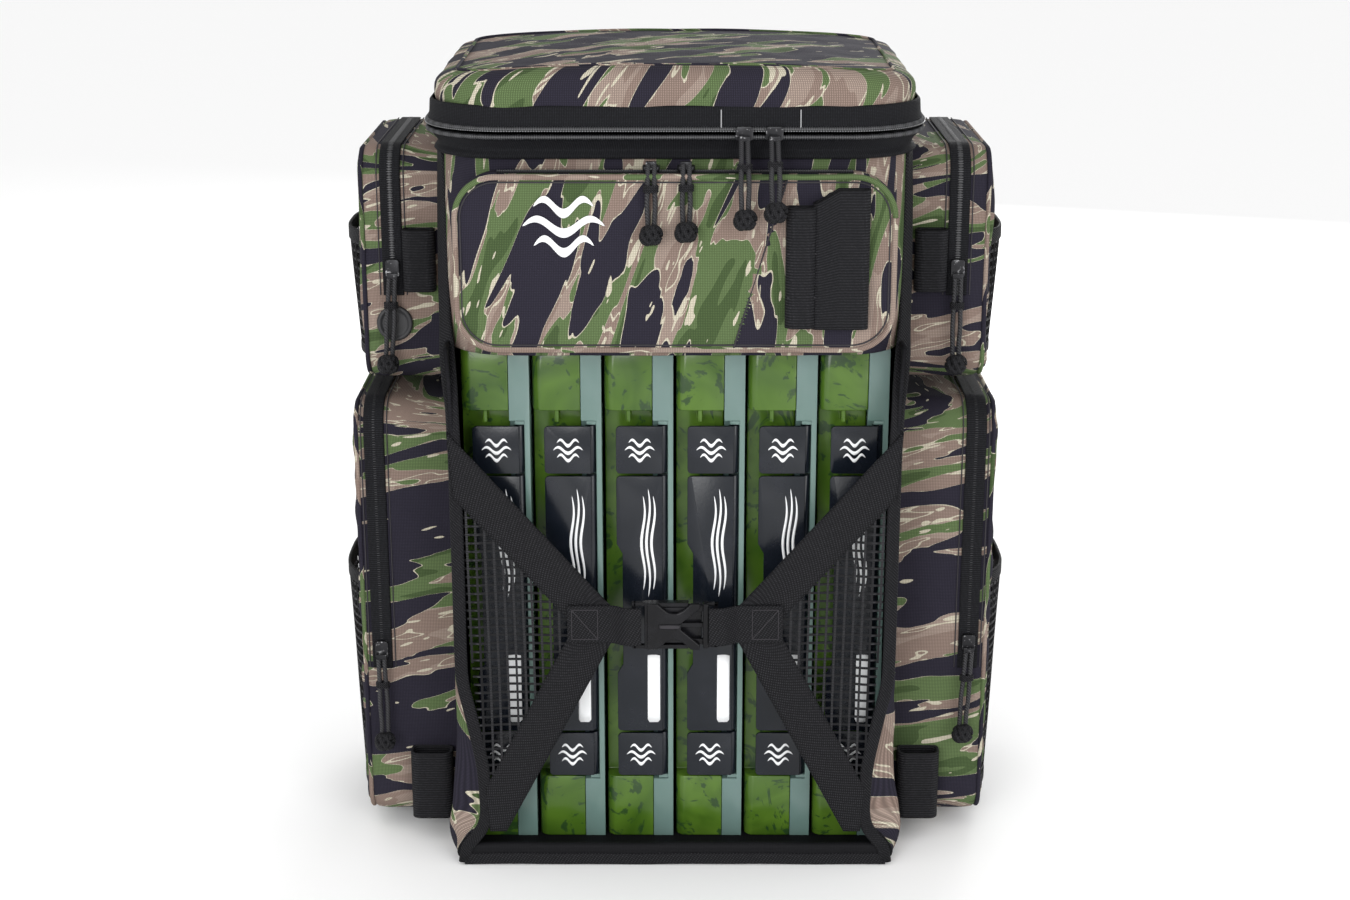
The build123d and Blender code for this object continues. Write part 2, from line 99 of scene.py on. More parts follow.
def woven(tree, vector, scale, second=None):
    """Ribs along u at that scale and ribs along v at that scale or a second one, multiplied."""
    ribs = [node(tree, "ShaderNodeTexWave", [("Vector", vector)], bands_direction=axis, Scale=size).outputs["Fac"]
            for axis, size in (("X", scale), ("Y", second or scale))]
    return node(tree, "ShaderNodeMath", [(0, ribs[0]), (1, ribs[1])], operation="MULTIPLY").outputs[0]


def tinted(tree, shader, factor, low, high, start=0.0, end=1.0):
    """The shader's colour from that ramp of the factor."""
    tree.links.new(blended(tree, factor, low, high, start, end), shader.inputs["Base Color"])


def finish(name, colour, roughness, **sockets):
    """A material on one Principled shader, with its plain values on the shader's own sockets."""
    made = bpy.data.materials.new(name)
    made.use_nodes = True
    shader = made.node_tree.nodes["Principled BSDF"]
    shader.inputs["Base Color"].default_value = (*colour, 1.0)
    shader.inputs["Roughness"].default_value = roughness
    for key, value in sockets.items():
        shader.inputs[key.replace("_", " ")].default_value = value
    return made, made.node_tree, shader


def lamp(name, place, aim, size, power):
    data = bpy.data.lights.new(name, "AREA")
    data.energy, data.size = power, size
    made = bpy.data.objects.new(name, data)
    made.location = place
    made.rotation_euler = (Vector(aim) - Vector(place)).to_track_quat("-Z", "Y").to_euler()
    scene.collection.objects.link(made)


lamp("key", (-0.8, -2.2, 0.9), (0, 0, 0.3), 1.0, 24.0)
lamp("fill", (1.2, -2.1, 0.8), (0, 0, 0.25), 1.2, 18.0)
lamp("back", (0.6, 2.1, 0.9), (0, 0, 0.3), 1.2, 22.0)
world = bpy.data.worlds.new("studio")
world.use_nodes = True
world.node_tree.nodes["Background"].inputs["Color"].default_value = (1.0, 1.0, 1.0, 1.0)
world.node_tree.nodes["Background"].inputs["Strength"].default_value = 1.0
scene.world = world
floor_mesh = bpy.data.meshes.new("floor")
floor_mesh.from_pydata([(-8, -8, 0), (8, -8, 0), (8, 8, 0), (-8, 8, 0)], [], [(0, 1, 2, 3)])
floor = bpy.data.objects.new("floor", floor_mesh)
floor_mesh.materials.append(finish("floor", (0.93, 0.93, 0.93), 0.9)[0])
scene.collection.objects.link(floor)


# ---- Pull cords and their knots ----
# Eight loops of braided nylon cord, each through the bridge of a zip slider and tied in a ball knot. The line
# of each loop is a smooth spline through the same route as its tube.
CORD_D = 0.0032
# Across and down at each point of a loop, forwards into its knot, and how much of its lean it has there.
PULL_LOOP = ((-2.0, 0.0, 0), (-2.0, 0.27, 0), (-2.7, 0.56, 0), (-1.9, 0.83, 0), (-2.6, 1.0, 4),
             (2.6, 1.0, 4), (1.9, 0.82, 0), (2.8, 0.55, 0), (2.0, 0.26, 0), (2.0, 0.0, 0))
HANGING = (0.0, 0.52, 0.90, 1.0, 1.0, 1.0, 1.0, 0.91, 0.50, 0.0)
OVER_EDGE = (0.0, 1.10, 1.02, 1.0, 1.0, 1.0, 1.0, 1.02, 1.10, 0.0)
PULLS = {
    # name: (the bridge's x, y, z, how it hangs, its lean, drop and step aside), in millimetres
    "lid_left": (43.5, -147.6, 507.5, HANGING, 22.6, 45.5, 0.0),
    "lid_right": (62.5, -147.6, 507.5, HANGING, 22.6, 41.0, 0.0),
    "front_left": (-15.0, -153.0, 493.5, OVER_EDGE, 7.9, 43.0, 0.0),
    "front_right": (7.0, -153.0, 493.5, OVER_EDGE, 7.9, 41.0, 0.0),
    "upper_left": (-189.5, -79.4, 405.0, HANGING, 0.8, 59.0, -4.0),
    "upper_right": (189.5, -79.4, 405.0, HANGING, 0.8, 59.0, 0.0),
    "lower_left": (-205.0, -95.4, 137.0, HANGING, 0.8, 61.0, 1.0),
    "lower_right": (205.0, -95.4, 142.0, HANGING, 0.8, 60.0, -3.0),
}


# The scale of a wave texture with one band in every millimetre.
RIBS = 314.0


def threads(name, colour, light, pitch, depth=0.5, roughness=0.7, aslant=0.0, across=1.0):
    """Woven threads on the piece's own UVs, in metres: one set of ribs along u and one along v, multiplied.
    pitch is in millimetres, across is how much wider the second set is, and aslant turns both."""
    made, tree, shader = finish(name, colour, roughness, Specular_IOR_Level=0.14)
    place = node(tree, "ShaderNodeTexCoord")
    way = node(tree, "ShaderNodeMapping", [("Vector", place.outputs["UV"])])
    way.inputs["Rotation"].default_value = (0.0, 0.0, radians(aslant))
    weave = woven(tree, way.outputs["Vector"], RIBS / pitch, RIBS / pitch / across)
    fuzz = noise(tree, "Object", 900.0, Detail=2.0)
    soft = node(tree, "ShaderNodeMath", [(0, weave), (1, fuzz)], operation="MULTIPLY")
    tinted(tree, shader, soft.outputs[0], colour, light, 0.0, 0.6)
    bumped(tree, shader, weave, depth, 0.0005)
    return made


def show(name, mesh, *materials):
    """A shown object with that mesh and those materials."""
    made = bpy.data.objects.new(name, mesh)
    scene.collection.objects.link(made)
    for material in materials:
        made.data.materials.append(material)
    return made


def stacked(*coordinates):
    """Points from their coordinates, which are first stretched to one shape."""
    return np.stack(np.broadcast_arrays(*coordinates), axis=-1)


def quads_of(rows, columns):
    """The corner numbers of each quad of a grid with so many rows and columns."""
    index = np.arange(rows * columns).reshape(rows, columns)
    return np.stack([index[:-1, :-1], index[:-1, 1:], index[1:, 1:], index[1:, :-1]], axis=-1).reshape(-1, 4)


def cleaned(mesh, weld=0.0, level=0.0, outwards=False):
    """Points within weld merged, faces level to that many degrees made one, and normals turned outwards."""
    work = bmesh.new()
    work.from_mesh(mesh)
    if weld:
        bmesh.ops.remove_doubles(work, verts=work.verts, dist=weld)
    if level:
        bmesh.ops.dissolve_limit(work, angle_limit=radians(level), verts=work.verts, edges=work.edges)
    if outwards:
        bmesh.ops.recalc_face_normals(work, faces=work.faces)
    work.to_mesh(mesh)
    work.free()


def surface(name, grid, *materials, uv=None, flip=False, closed=False, pick=None):
    """Quads between neighbouring points of a grid of millimetres (rows, columns, 3), smooth, doubles merged.
    The UVs are uv, or else the arc length along the columns and down the rows. pick gives each quad's
    material from its middle. A closed form has its normals turned outwards."""
    grid = np.asarray(grid, float) * 0.001
    quads = quads_of(*grid.shape[:2])
    if flip:
        quads = quads[:, ::-1]
    if uv is None:
        along = np.linalg.norm(np.diff(grid, axis=1), axis=2).max(axis=0)
        down = np.linalg.norm(np.diff(grid, axis=0), axis=2).max(axis=1)
        u, v = (np.concatenate([[0], np.cumsum(steps)]) for steps in (along, down))
        uv = stacked(u[None, :], v[:, None])
    else:
        uv = np.asarray(uv, float) * 0.001
    mesh = bpy.data.meshes.new(name)
    mesh.from_pydata(grid.reshape(-1, 3).tolist(), [], quads.tolist())
    mesh.uv_layers.new(name="UVMap").data.foreach_set("uv", uv.reshape(-1, 2)[quads.ravel()].ravel())
    mesh.polygons.foreach_set("use_smooth", [True] * len(quads))
    if pick is not None:
        middle = grid.reshape(-1, 3)[quads].mean(axis=1) * 1000.0
        mesh.polygons.foreach_set("material_index", pick(middle).astype(int))
    cleaned(mesh, 1e-6, outwards=closed)
    return show(name, mesh, *materials)


def held(t):
    """t, but no less than 0 and no more than 1."""
    return np.clip(t, 0.0, 1.0)


def eased(t):
    """t held between 0 and 1, with a slow start and end: t * t * (3 - 2 * t)."""
    t = held(t)
    return t * t * (3 - 2 * t)


def unit(rows):
    """Rows of vectors, each made one long."""
    return rows / np.linalg.norm(rows, axis=1)[:, None]


def capped(grid):
    """The same grid with its first and last columns drawn in to their middles, which closes the ends."""
    ends = [np.broadcast_to(grid[:, k].mean(axis=0), grid[:, k].shape)[:, None] for k in (0, -1)]
    return np.concatenate([ends[0], grid, ends[1]], axis=1)


def tube(line, radius, sides=8):
    """A closed tube round a line: circles across it, on one axis square to the line and one square to both."""
    line = np.asarray(line, float)
    ahead = unit(np.gradient(line, axis=0))
    side = unit(np.cross(ahead, (0.31, 0.47, 0.83)))
    other = np.cross(ahead, side)
    turn = np.linspace(0, 2 * pi, sides + 1)[:, None, None]
    radius = np.broadcast_to(np.asarray(radius, float), (len(line),))[None, :, None]
    return capped(line[None] + radius * (np.cos(turn) * side[None] + np.sin(turn) * other[None]))


def join(name, *pieces):
    """One object out of several, which keeps each face's material."""
    with bpy.context.temp_override(active_object=pieces[0], selected_editable_objects=list(pieces)):
        bpy.ops.object.join()
    pieces[0].name = name
    return pieces[0]


def fitted(piece, body, slot, *nodes):
    """The piece rides on that body and stands for those nodes. slot is not used."""
    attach(piece, body)
    if nodes:
        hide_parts(*nodes)
    return piece


def sewn(slot, name, grid, material, *nodes, body="bag", **shape):
    """A closed form that rides on that body, which stands for those nodes. slot is not used."""
    return fitted(surface(name, grid, material, closed=True, **shape), body, slot, *nodes)


cord_mat = threads("cord", (0.004, 0.004, 0.005), (0.055, 0.055, 0.06), 1.1, 0.9, 0.6, 45.0)
braid_mat, braid_tree, braid_shader = finish("braid", (0.012, 0.012, 0.013), 0.62, Specular_IOR_Level=0.35)
braid_place = node(braid_tree, "ShaderNodeTexCoord")
braid_wave = node(braid_tree, "ShaderNodeTexWave", [("Vector", braid_place.outputs["Object"])], Scale=290.0,
                  bands_direction="DIAGONAL", Distortion=1.5)
tinted(braid_tree, braid_shader, braid_wave.outputs["Fac"], (0.004, 0.004, 0.005), (0.036, 0.036, 0.04))
bumped(braid_tree, braid_shader, braid_wave.outputs["Fac"], 0.7, 0.0004)


def knot(name, centre):
    """A ball knot: a round band that goes five times round a ball while its height swings as a sine, so that
    it crosses over itself, and a core inside."""
    t = np.linspace(0, 2 * pi, 300)
    high = 1.05 * np.sin(7 * t + 0.3)
    out = 5.5 + 0.7 * np.cos(12 * t)
    line = stacked(out * np.cos(5 * t) * np.cos(high), out * np.sin(5 * t) * np.cos(high),
                   1.05 * out * np.sin(high))
    turn, fall = np.meshgrid(np.linspace(0, 2 * pi, 19), np.linspace(0, pi, 11))
    core = 5.2 * stacked(np.cos(turn) * np.sin(fall), np.sin(turn) * np.sin(fall), np.cos(fall))
    return join(name, surface(name, centre + tube(line, 1.65, 7), cord_mat, closed=True),
                surface(name + "_core", centre + core, cord_mat, closed=True))


for name, (x, y, z, way, lean, drop, aside) in PULLS.items():
    route = [(x + across + aside * down, y - out * lean - more, z - down * drop)
             for (across, down, more), out in zip(PULL_LOOP, way)]
    curve = bpy.data.curves.new(f"pull_cord_{name}", "CURVE")
    curve.dimensions, curve.bevel_depth, curve.bevel_resolution = "3D", CORD_D / 2, 4
    curve.use_fill_caps = True
    spline = curve.splines.new("NURBS")
    spline.points.add(len(route) - 1)
    for point, place in zip(spline.points, route):
        point.co = (*(0.001 * v for v in place), 1.0)
    spline.order_u, spline.use_endpoint_u, spline.resolution_u = 3, True, 8
    cord = fitted(show(f"pull_cord_{name}", curve, braid_mat), f"slider_{name}", "cord", f"pull_{name}")
    middle = np.array([x + aside, y - lean - 5.3, z - drop + 1.0])
    ball = fitted(knot(f"pull_knot_{name}", middle), f"slider_{name}", "cord")
    # The whipping that holds the two sides of the loop together below its slider.
    band_at = middle * 0.32 + np.array([x, y - (0.55 if way is HANGING else 1.02) * lean, z]) * 0.68
    band_at[1] = y - np.interp(0.30, (0, 0.27, 0.56, 1), (way[0], way[1], way[2], 1)) * lean
    turns = np.linspace(0, 2 * pi, 25)
    wrap = band_at + stacked(4.2 * np.cos(turns), 2.3 * np.sin(turns), 0.0)
    whip = join(f"pull_whip_{name}", *(surface(f"whip_{name}_{k}", tube(wrap + (0, 0, 1.5 * k), 0.85, 7), cord_mat,
                                               closed=True) for k in (-1, 0, 1)))
    fitted(whip, f"slider_{name}", "cord")


# ---- Camouflage cloth and the walls of the bag ----
# Coated polyester with a basket weave, printed in long brush strokes of green and near black on tan, each with
# a cream edge. It is lined with black cloth, and black webbing binds its front edges down to the base.
TAN, TAN_2, CREAM = (0.225, 0.165, 0.138), (0.285, 0.22, 0.185), (0.50, 0.46, 0.36)
GREEN, GREEN_2, INK = (0.095, 0.140, 0.058), (0.056, 0.088, 0.034), (0.021, 0.019, 0.030)


def camouflage(name, turn, shift, ink=0.515, stretch=4.2):
    """Printed cloth on the piece's UVs. turn is the way the strokes run, in degrees, shift moves the print, ink
    is the level above which it is near black, and stretch is how much longer than wide a stroke is. Each layer
    is a noise cut at a few levels."""
    made, tree, shader = finish(name, TAN, 0.85, Specular_IOR_Level=0.12)
    place = node(tree, "ShaderNodeTexCoord")
    way = node(tree, "ShaderNodeMapping", [("Vector", place.outputs["UV"])])
    way.inputs["Rotation"].default_value = (0.0, 0.0, radians(-turn))
    way.inputs["Location"].default_value = (shift[0], shift[1], 0.0)
    long = node(tree, "ShaderNodeMapping", [("Vector", way.outputs["Vector"])])
    long.inputs["Scale"].default_value = (1.0, stretch, 1.0)
    colour = node(tree, "ShaderNodeRGB").outputs[0]
    colour.default_value = (*TAN, 1)
    layers = (
        # noise scale, detail, bend, depth in the noise, and levels: (from, colour, covering)
        (14.0, 2.0, 0.5, 0.10, ((0.0, TAN_2, 0), (0.55, TAN_2, 1))),
        (30.0, 1.0, 0.2, 6.40, ((0.0, CREAM, 0), (0.60, CREAM, 1), (0.635, TAN, 1))),
        (10.5, 2.2, 0.7, 3.30, ((0.0, CREAM, 0), (0.508, CREAM, 1), (0.515, GREEN, 1), (0.61, GREEN_2, 1))),
        (34.0, 1.0, 0.2, 5.10, ((0.0, CREAM, 0), (0.69, CREAM, 1))),
        (10.0, 2.4, 0.8, 7.70, ((0.0, CREAM, 0), (ink - 0.007, CREAM, 1), (ink, INK, 1))),
        (38.0, 1.0, 0.2, 9.20, ((0.0, CREAM, 0), (0.735, CREAM, 1))),
    )
    for scale, detail, bend, depth, levels in layers:
        at = node(tree, "ShaderNodeMapping", [("Vector", long.outputs["Vector"])])
        at.inputs["Location"].default_value = (depth, 0.37 * depth, depth)
        strokes = node(tree, "ShaderNodeTexNoise", [("Vector", at.outputs["Vector"])], Scale=scale, Detail=detail,
                       Roughness=0.42, Distortion=bend)
        ramp = node(tree, "ShaderNodeValToRGB", [("Fac", strokes.outputs["Fac"])])
        ramp.color_ramp.interpolation = "CONSTANT"
        stops = ramp.color_ramp.elements
        while len(stops) < len(levels):
            stops.new(0.5)
        for stop, (start, shade, covering) in zip(stops, levels):
            stop.position, stop.color = start, (*shade, covering)
        colour = node(tree, "ShaderNodeMixRGB", [("Fac", ramp.outputs["Alpha"]), ("Color1", colour),
                                                 ("Color2", ramp.outputs["Color"])]).outputs["Color"]
    weave = woven(tree, place.outputs["UV"], 290.0)
    shade = node(tree, "ShaderNodeMapRange", [("Value", weave)])
    shade.inputs["To Min"].default_value, shade.inputs["To Max"].default_value = 0.60, 1.42
    lit = node(tree, "ShaderNodeVectorMath", [(0, colour), ("Scale", shade.outputs["Result"])], operation="SCALE")
    tree.links.new(lit.outputs["Vector"], shader.inputs["Base Color"])
    bump = node(tree, "ShaderNodeBump", [("Height", weave)], Strength=0.35, Distance=0.0004)
    rumple = noise(tree, "Object", 38.0, Detail=2.0)
    bumped(tree, shader, rumple, 0.35, 0.004, [("Normal", bump.outputs["Normal"])])
    return made


def curve_through(x, xs, ys):
    """A smooth curve through points: cubic pieces whose slopes are those of the points beside them."""
    xs, ys = np.asarray(xs, float), np.asarray(ys, float)
    slope = np.gradient(ys, xs)
    x = np.clip(x, xs[0], xs[-1])
    k = np.clip(np.searchsorted(xs, x) - 1, 0, len(xs) - 2)
    h = xs[k + 1] - xs[k]
    t = (x - xs[k]) / h
    return ((1 + 2 * t) * (1 - t) ** 2 * ys[k] + t * (1 - t) ** 2 * h * slope[k]
            + t * t * (3 - 2 * t) * ys[k + 1] + t * t * (t - 1) * h * slope[k + 1])


def creases(a, b, size, seed):
    """Shallow waves: five sines of a and b in directions and lengths from a seeded draw, size high in all."""
    draw = np.random.default_rng(seed)
    total = 0.0 * (a + b)
    for _ in range(5):
        way, wave, phase = draw.uniform(0, pi), draw.uniform(22, 75), draw.uniform(0, 2 * pi)
        total = total + np.sin(2 * pi * (a * np.cos(way) + b * np.sin(way)) / wave + phase)
    return total * size / 3.0


def thickened(piece, thick, inner=0, rim=0):
    """A wall of that thickness in millimetres behind the surface, with the material at index inner."""
    wall = piece.modifiers.new("wall", "SOLIDIFY")
    wall.thickness, wall.offset = 0.001 * thick, -1.0
    wall.material_offset, wall.material_offset_rim = inner, rim
    return piece


def carried(line, across, section, out=None):
    """A section carried along a line: its point (a, b) goes a along `across` and b along the way square to
    both the line and `across`. Rows go round the section, columns along the line, and the ends are closed."""
    line = np.asarray(line, float)
    across = np.broadcast_to(np.asarray(across, float), line.shape)
    if out is None:
        out = unit(np.cross(across, np.gradient(line, axis=0)))
    section = np.asarray(section, float)
    return capped(line[None] + section[:, 0, None, None] * across[None] + section[:, 1, None, None] * out[None])


def resampled(points, count):
    """Evenly spaced points on a line of points."""
    points = np.asarray(points, float)
    length = np.concatenate([[0], np.cumsum(np.linalg.norm(np.diff(points, axis=0), axis=1))])
    at = np.linspace(0, length[-1], count)
    return np.stack([np.interp(at, length, points[:, k]) for k in range(points.shape[1])], axis=1)


def smooth_line(points, count, width=9):
    """Evenly spaced points on a line of points, with its corners rounded by a moving mean of that width."""
    line = resampled(points, count + width - 1)
    mean = np.ones(width) / width
    inner = np.stack([np.convolve(line[:, k], mean, "valid") for k in range(line.shape[1])], axis=1)
    inner[0], inner[-1] = line[0], line[-1]
    return inner


def rounded(half_a, half_b, radius, count=96):
    """A closed outline: a rectangle with round corners, evenly spaced, its last point the same as its first."""
    quarter = np.linspace(0, pi / 2, 12)
    parts = [np.stack([sa * (half_a - radius) + radius * np.cos(start + quarter),
                       sb * (half_b - radius) + radius * np.sin(start + quarter)], axis=1)
             for sa, sb, start in ((1, 1, 0), (-1, 1, pi / 2), (-1, -1, pi), (1, -1, 1.5 * pi))]
    return resampled(np.concatenate(parts + [parts[0][:1]]), count)


black_cloth = threads("black_cloth", (0.003, 0.003, 0.004), (0.014, 0.014, 0.017), 1.3, 0.4, 0.8)
webbing = threads("webbing", (0.003, 0.003, 0.004), (0.036, 0.036, 0.040), 1.9, 1.0, 0.66, 32.0, 0.75)
WALL_Z = (0, 8, 21, 34, 55, 76, 89, 112, 135, 162, 300, 345, 372)
EDGE_X = (147, 153.0, 147.5, 134.9, 135.4, 137.0, 139.2, 142.8, 150.0, 149.7, 149.7, 150.5, 152)
HALF, FRONT, BACK = 150.5, -135.0, 118.0

for side, word in SIDES:
    z = np.linspace(2.0, 371.5, 150)[:, None]
    y = np.concatenate([np.linspace(-137.2, -80, 34), np.linspace(-74, 117, 26)])[None, :]
    edge = curve_through(z, WALL_Z, EDGE_X) - 1.5
    belly = curve_through(z, (0, 11, 22, 34, 60, 110, 372), (151, 156.5, 158.5, 156.5, 153.5, 151.3, 150.6))
    ease, settle = eased((y + 137.2) / 17.0), eased((y + 106.0) / 20.0)
    x = edge + (belly - edge) * ease
    x = x + (HALF - x) * settle + creases(y, z, 0.7, 11 + side) * ease * (1 - settle)
    grid = stacked(side * x, y, z)
    uv = stacked(-y + 0.35 * x, z)
    wall = surface(f"side_wall_{word}", grid, camouflage(f"wall_print_{word}", 62.0 * side, (0.31 * side, 0.2)),
                   black_cloth, uv=uv, flip=side < 0)
    fitted(thickened(wall, 2.4, 1, 1), "bag", "camo_cloth", f"side_wall_{word}")
    # The webbing that binds the wall's front edge and runs on up beside the top compartment to the zip.
    path = [(side * a, b, c) for a, b, c in (
        (152.0, -96, 496), (152.5, -98, 450), (152.4, -101, 405), (151.6, -108, 380), (149.5, -122, 358),
        (146.6, -134, 335), (145.4, -136.6, 300), (145.2, -137, 200), (145.3, -137, 160), (144.9, -137, 137),
        (139.3, -137, 112), (134.9, -137, 89), (132.3, -137, 76), (131.0, -137, 55), (130.6, -137, 34),
        (134.4, -137, 25), (144.5, -137.6, 15), (148.5, -137.8, 6), (146.5, -137.5, 2))]
    line = smooth_line(path, 170, 7)
    ahead = unit(np.gradient(line, axis=0))
    lean = np.interp(line[:, 2], (0, 345, 380, 500), (0.0, 0.0, 0.75, 0.95))
    facing = stacked(side * lean, -np.sqrt(1 - lean ** 2), 0.0)
    across = unit(np.cross(ahead, facing))
    wide = np.interp(line[:, 2], (0, 330, 380, 500), (4.4, 4.4, 6.5, 6.5))
    grid = carried(line, across * wide[:, None], rounded(1.0, 0.36, 0.34, 25), np.cross(across, ahead) * 4.4)
    sewn("webbing", f"edge_binding_{word}", grid, webbing)


# ---- The wipe-clean base ----
# A black coated floor with rounded corners, turned up along the front into a soft lip, which is bound.
def pillow(outline, levels, crown, rings=12, base_rings=2):
    """A closed form on an outline (count, 2): a ring at each (inset, height), a flat bottom, and a top that
    rises by crown times (1 - (a / A)**2)(1 - (b / B)**2). An inset ring is the outline drawn in to its middle
    by that much at its widest. It gives a, b and h, and a, b spread outwards by the height for the UVs."""
    reach = np.abs(outline).max(axis=0)
    rows = [(s, 0.0, levels[0][1]) for s in np.linspace(0, 1, base_rings + 1)[:-1]]
    rows += [(1.0, inset, height) for inset, height in levels]
    rows += [(s, levels[-1][0], levels[-1][1]) for s in np.linspace(1, 0, rings)[1:]]
    share, inset, height = (np.array(column)[:, None] for column in zip(*rows))
    plan = [outline[None, :, k] * share * (1 - inset / reach[k]) for k in (0, 1)]
    top = np.arange(len(rows))[:, None] > base_rings + len(levels) - 1
    inner = [reach[k] - levels[-1][0] for k in (0, 1)]
    dome = crown * (1 - (plan[0] / inner[0]) ** 2) * (1 - (plan[1] / inner[1]) ** 2)
    high = height + np.where(top, dome, 0.0)
    along = np.gradient(outline, axis=0)
    square = unit(np.stack([along[:, 1], -along[:, 0]], axis=1))
    spread = np.stack([plan[k] + square[None, :, k] * (levels[-1][1] - height) for k in (0, 1)], axis=-1)
    return plan[0], plan[1], high, spread


boot_cloth = threads("boot_cloth", (0.003, 0.003, 0.004), (0.011, 0.011, 0.013), 1.1, 0.35, 0.7)
FLOOR_EDGE = [(2.5, 0.0), (0.6, 1.2), (0, 3.5), (0.4, 6.5), (2.0, 8.0)]
a, b, h, uv = pillow(rounded(150.0, 127.0, 9.0, 160), FLOOR_EDGE, 0.0)
grid = stacked(a, b - 7.5, h)
sewn("boot_cloth", "base_floor", grid, boot_cloth, "base_boot", uv=uv)
x = np.linspace(-146.5, 146.5, 90)
sag = 0.6 * np.sin(x / 23.0) + 0.4 * np.sin(x / 9.5 + 1.0)
line = stacked(x, -134.6, 8.4 + 0.4 * sag)
lip = carried(line, (0, 1, 0), rounded(3.2, 7.2, 3.0, 28))
sewn("boot_cloth", "base_lip", lip, boot_cloth)
line = stacked(x, -137.6, 4.6 + 0.3 * sag)
welt = carried(line, (0, 1, 0), rounded(1.5, 4.3, 1.4, 24))
sewn("webbing", "base_welt", welt, webbing)


# ---- The top compartment: its wall, its floor and the zip round its rim ----
# One camouflage wall goes round the front from back to back, over a padded black shelf. A black tape is sewn
# along its top edge and carries the lower half of a coil zip, with a webbing welt below it.
def top_line(grow, count=260, height=None):
    """The plan of the wall from its left back edge round the front to its right back edge, grown outwards."""
    half, front, radius = HALF + grow, FRONT - grow, 44.0 + grow
    turn = np.linspace(0, pi / 2, 16)
    left = np.stack([-half + radius * (1 - np.cos(turn)), front + radius * (1 - np.sin(turn))], axis=1)
    right = left[::-1] * (-1, 1)
    return resampled(np.concatenate([[(-half, BACK)], left, right, [(half, BACK)]]), count)


def around(profile, line=top_line, count=260, flare=0.0):
    """A wall round that plan: at each (grow, z) of the profile the grown plan at that height, and wider at the
    sides by that share where it is grown."""
    return np.stack([np.column_stack([line(grow, count) * (1 + flare * held(grow / 5.0), 1),
                                      np.full(count, z)]) for grow, z in profile])


TOOTH = 1.7


def toothed(name, colour, low, high, start, roughness, gloss):
    """Nylon or metal with a band for every tooth along u."""
    made, tree, shader = finish(name, colour, roughness, Specular_IOR_Level=gloss)
    place = node(tree, "ShaderNodeTexCoord")
    wave = node(tree, "ShaderNodeTexWave", [("Vector", place.outputs["UV"])], bands_direction="X",
                Scale=RIBS / TOOTH)
    tinted(tree, shader, wave.outputs["Fac"], low, high, start)
    return made


coil_mat = toothed("zip_coil", (0.012, 0.012, 0.013), (0.004, 0.004, 0.005), (0.045, 0.046, 0.05), 0.0, 0.38, 0.5)
teeth_mat = toothed("zip_teeth", (0.2, 0.2, 0.21), (0.006, 0.006, 0.007), (0.22, 0.225, 0.235), 0.45, 0.3, 0.6)
zip_tape = threads("zip_tape", (0.003, 0.003, 0.004), (0.022, 0.023, 0.027), 1.5, 0.6, 0.75, 0.0, 0.6)


def coil(name, line, across, half_wide, half_high, body="bag"):
    """A zip's coil: a section carried along the line that swells and shrinks once for every tooth."""
    line = resampled(line, max(8, int(4 * np.linalg.norm(np.diff(line, axis=0), axis=1).sum() / TOOTH)))
    swell = 1.0 + 0.16 * np.cos(np.arange(len(line)) * pi / 2)[:, None]
    across = np.broadcast_to(np.asarray(across, float), line.shape)
    out = unit(np.cross(across, np.gradient(line, axis=0)))
    section = rounded(half_wide, half_high, min(half_wide, half_high) * 0.9, 11)
    return sewn("zip_tape", name, carried(line, across * swell, section, out * swell), coil_mat, body=body)


FLARE = 0.018
WRINKLED = ((0.0, 366.0), (0.3, 372), (0.8, 386), (1.0, 402), (1.0, 420), (1.0, 440), (0.8, 458), (0.6, 474),
            (0.6, 486), (0.3, 497.5))
grid = around(resampled(WRINKLED, 60))
run = np.arange(260) * 3.1
grid[:, :, 1] += 0.8 * creases(run[None, :], grid[:, :, 2], 0.8, 5) * (np.abs(grid[:, :, 0]) < 146)
uv = stacked(run[None, :], grid[:, :, 2])
top_wall = surface("top_wall", grid, camouflage("top_print", 80.0, (0.13, 0.42)), black_cloth, uv=uv)
fitted(thickened(top_wall, 3.0, 1, 1), "bag", "camo_cloth", "upper_tub")
plan = top_line(-1.0, 180)
ring = np.concatenate([plan, plan[:1]]) - (0, -10)
a, b, h, uv = pillow(ring, [(1.0, 0.0), (0, 1.5), (0, 4.5), (1.0, 6.0)], 0.0)
grid = stacked(a, b - 10, h + 367.0)
sewn("boot_cloth", "shelf", grid, black_cloth, uv=uv)
tape = around(resampled([(0.9, 494.6), (3.4, 495.0), (4.2, 496.6), (3.4, 498.2), (2.3, 499.6), (2.4, 501.5),
                         (3.3, 503.5), (5.2, 506.4), (6.8, 507.6), (7.4, 508.6), (7.2, 509.8), (5.2, 510.4),
                         (0.2, 510.2)], 34), flare=FLARE)
tape = surface("rim_tape", tape, zip_tape)
fitted(thickened(tape, 1.0), "bag", "zip_tape", "zip_tapes")
coil("rim_coil", around([(7.0, 509.3)], count=400, flare=FLARE)[0], (0, 0, 1), 1.5, 1.5)


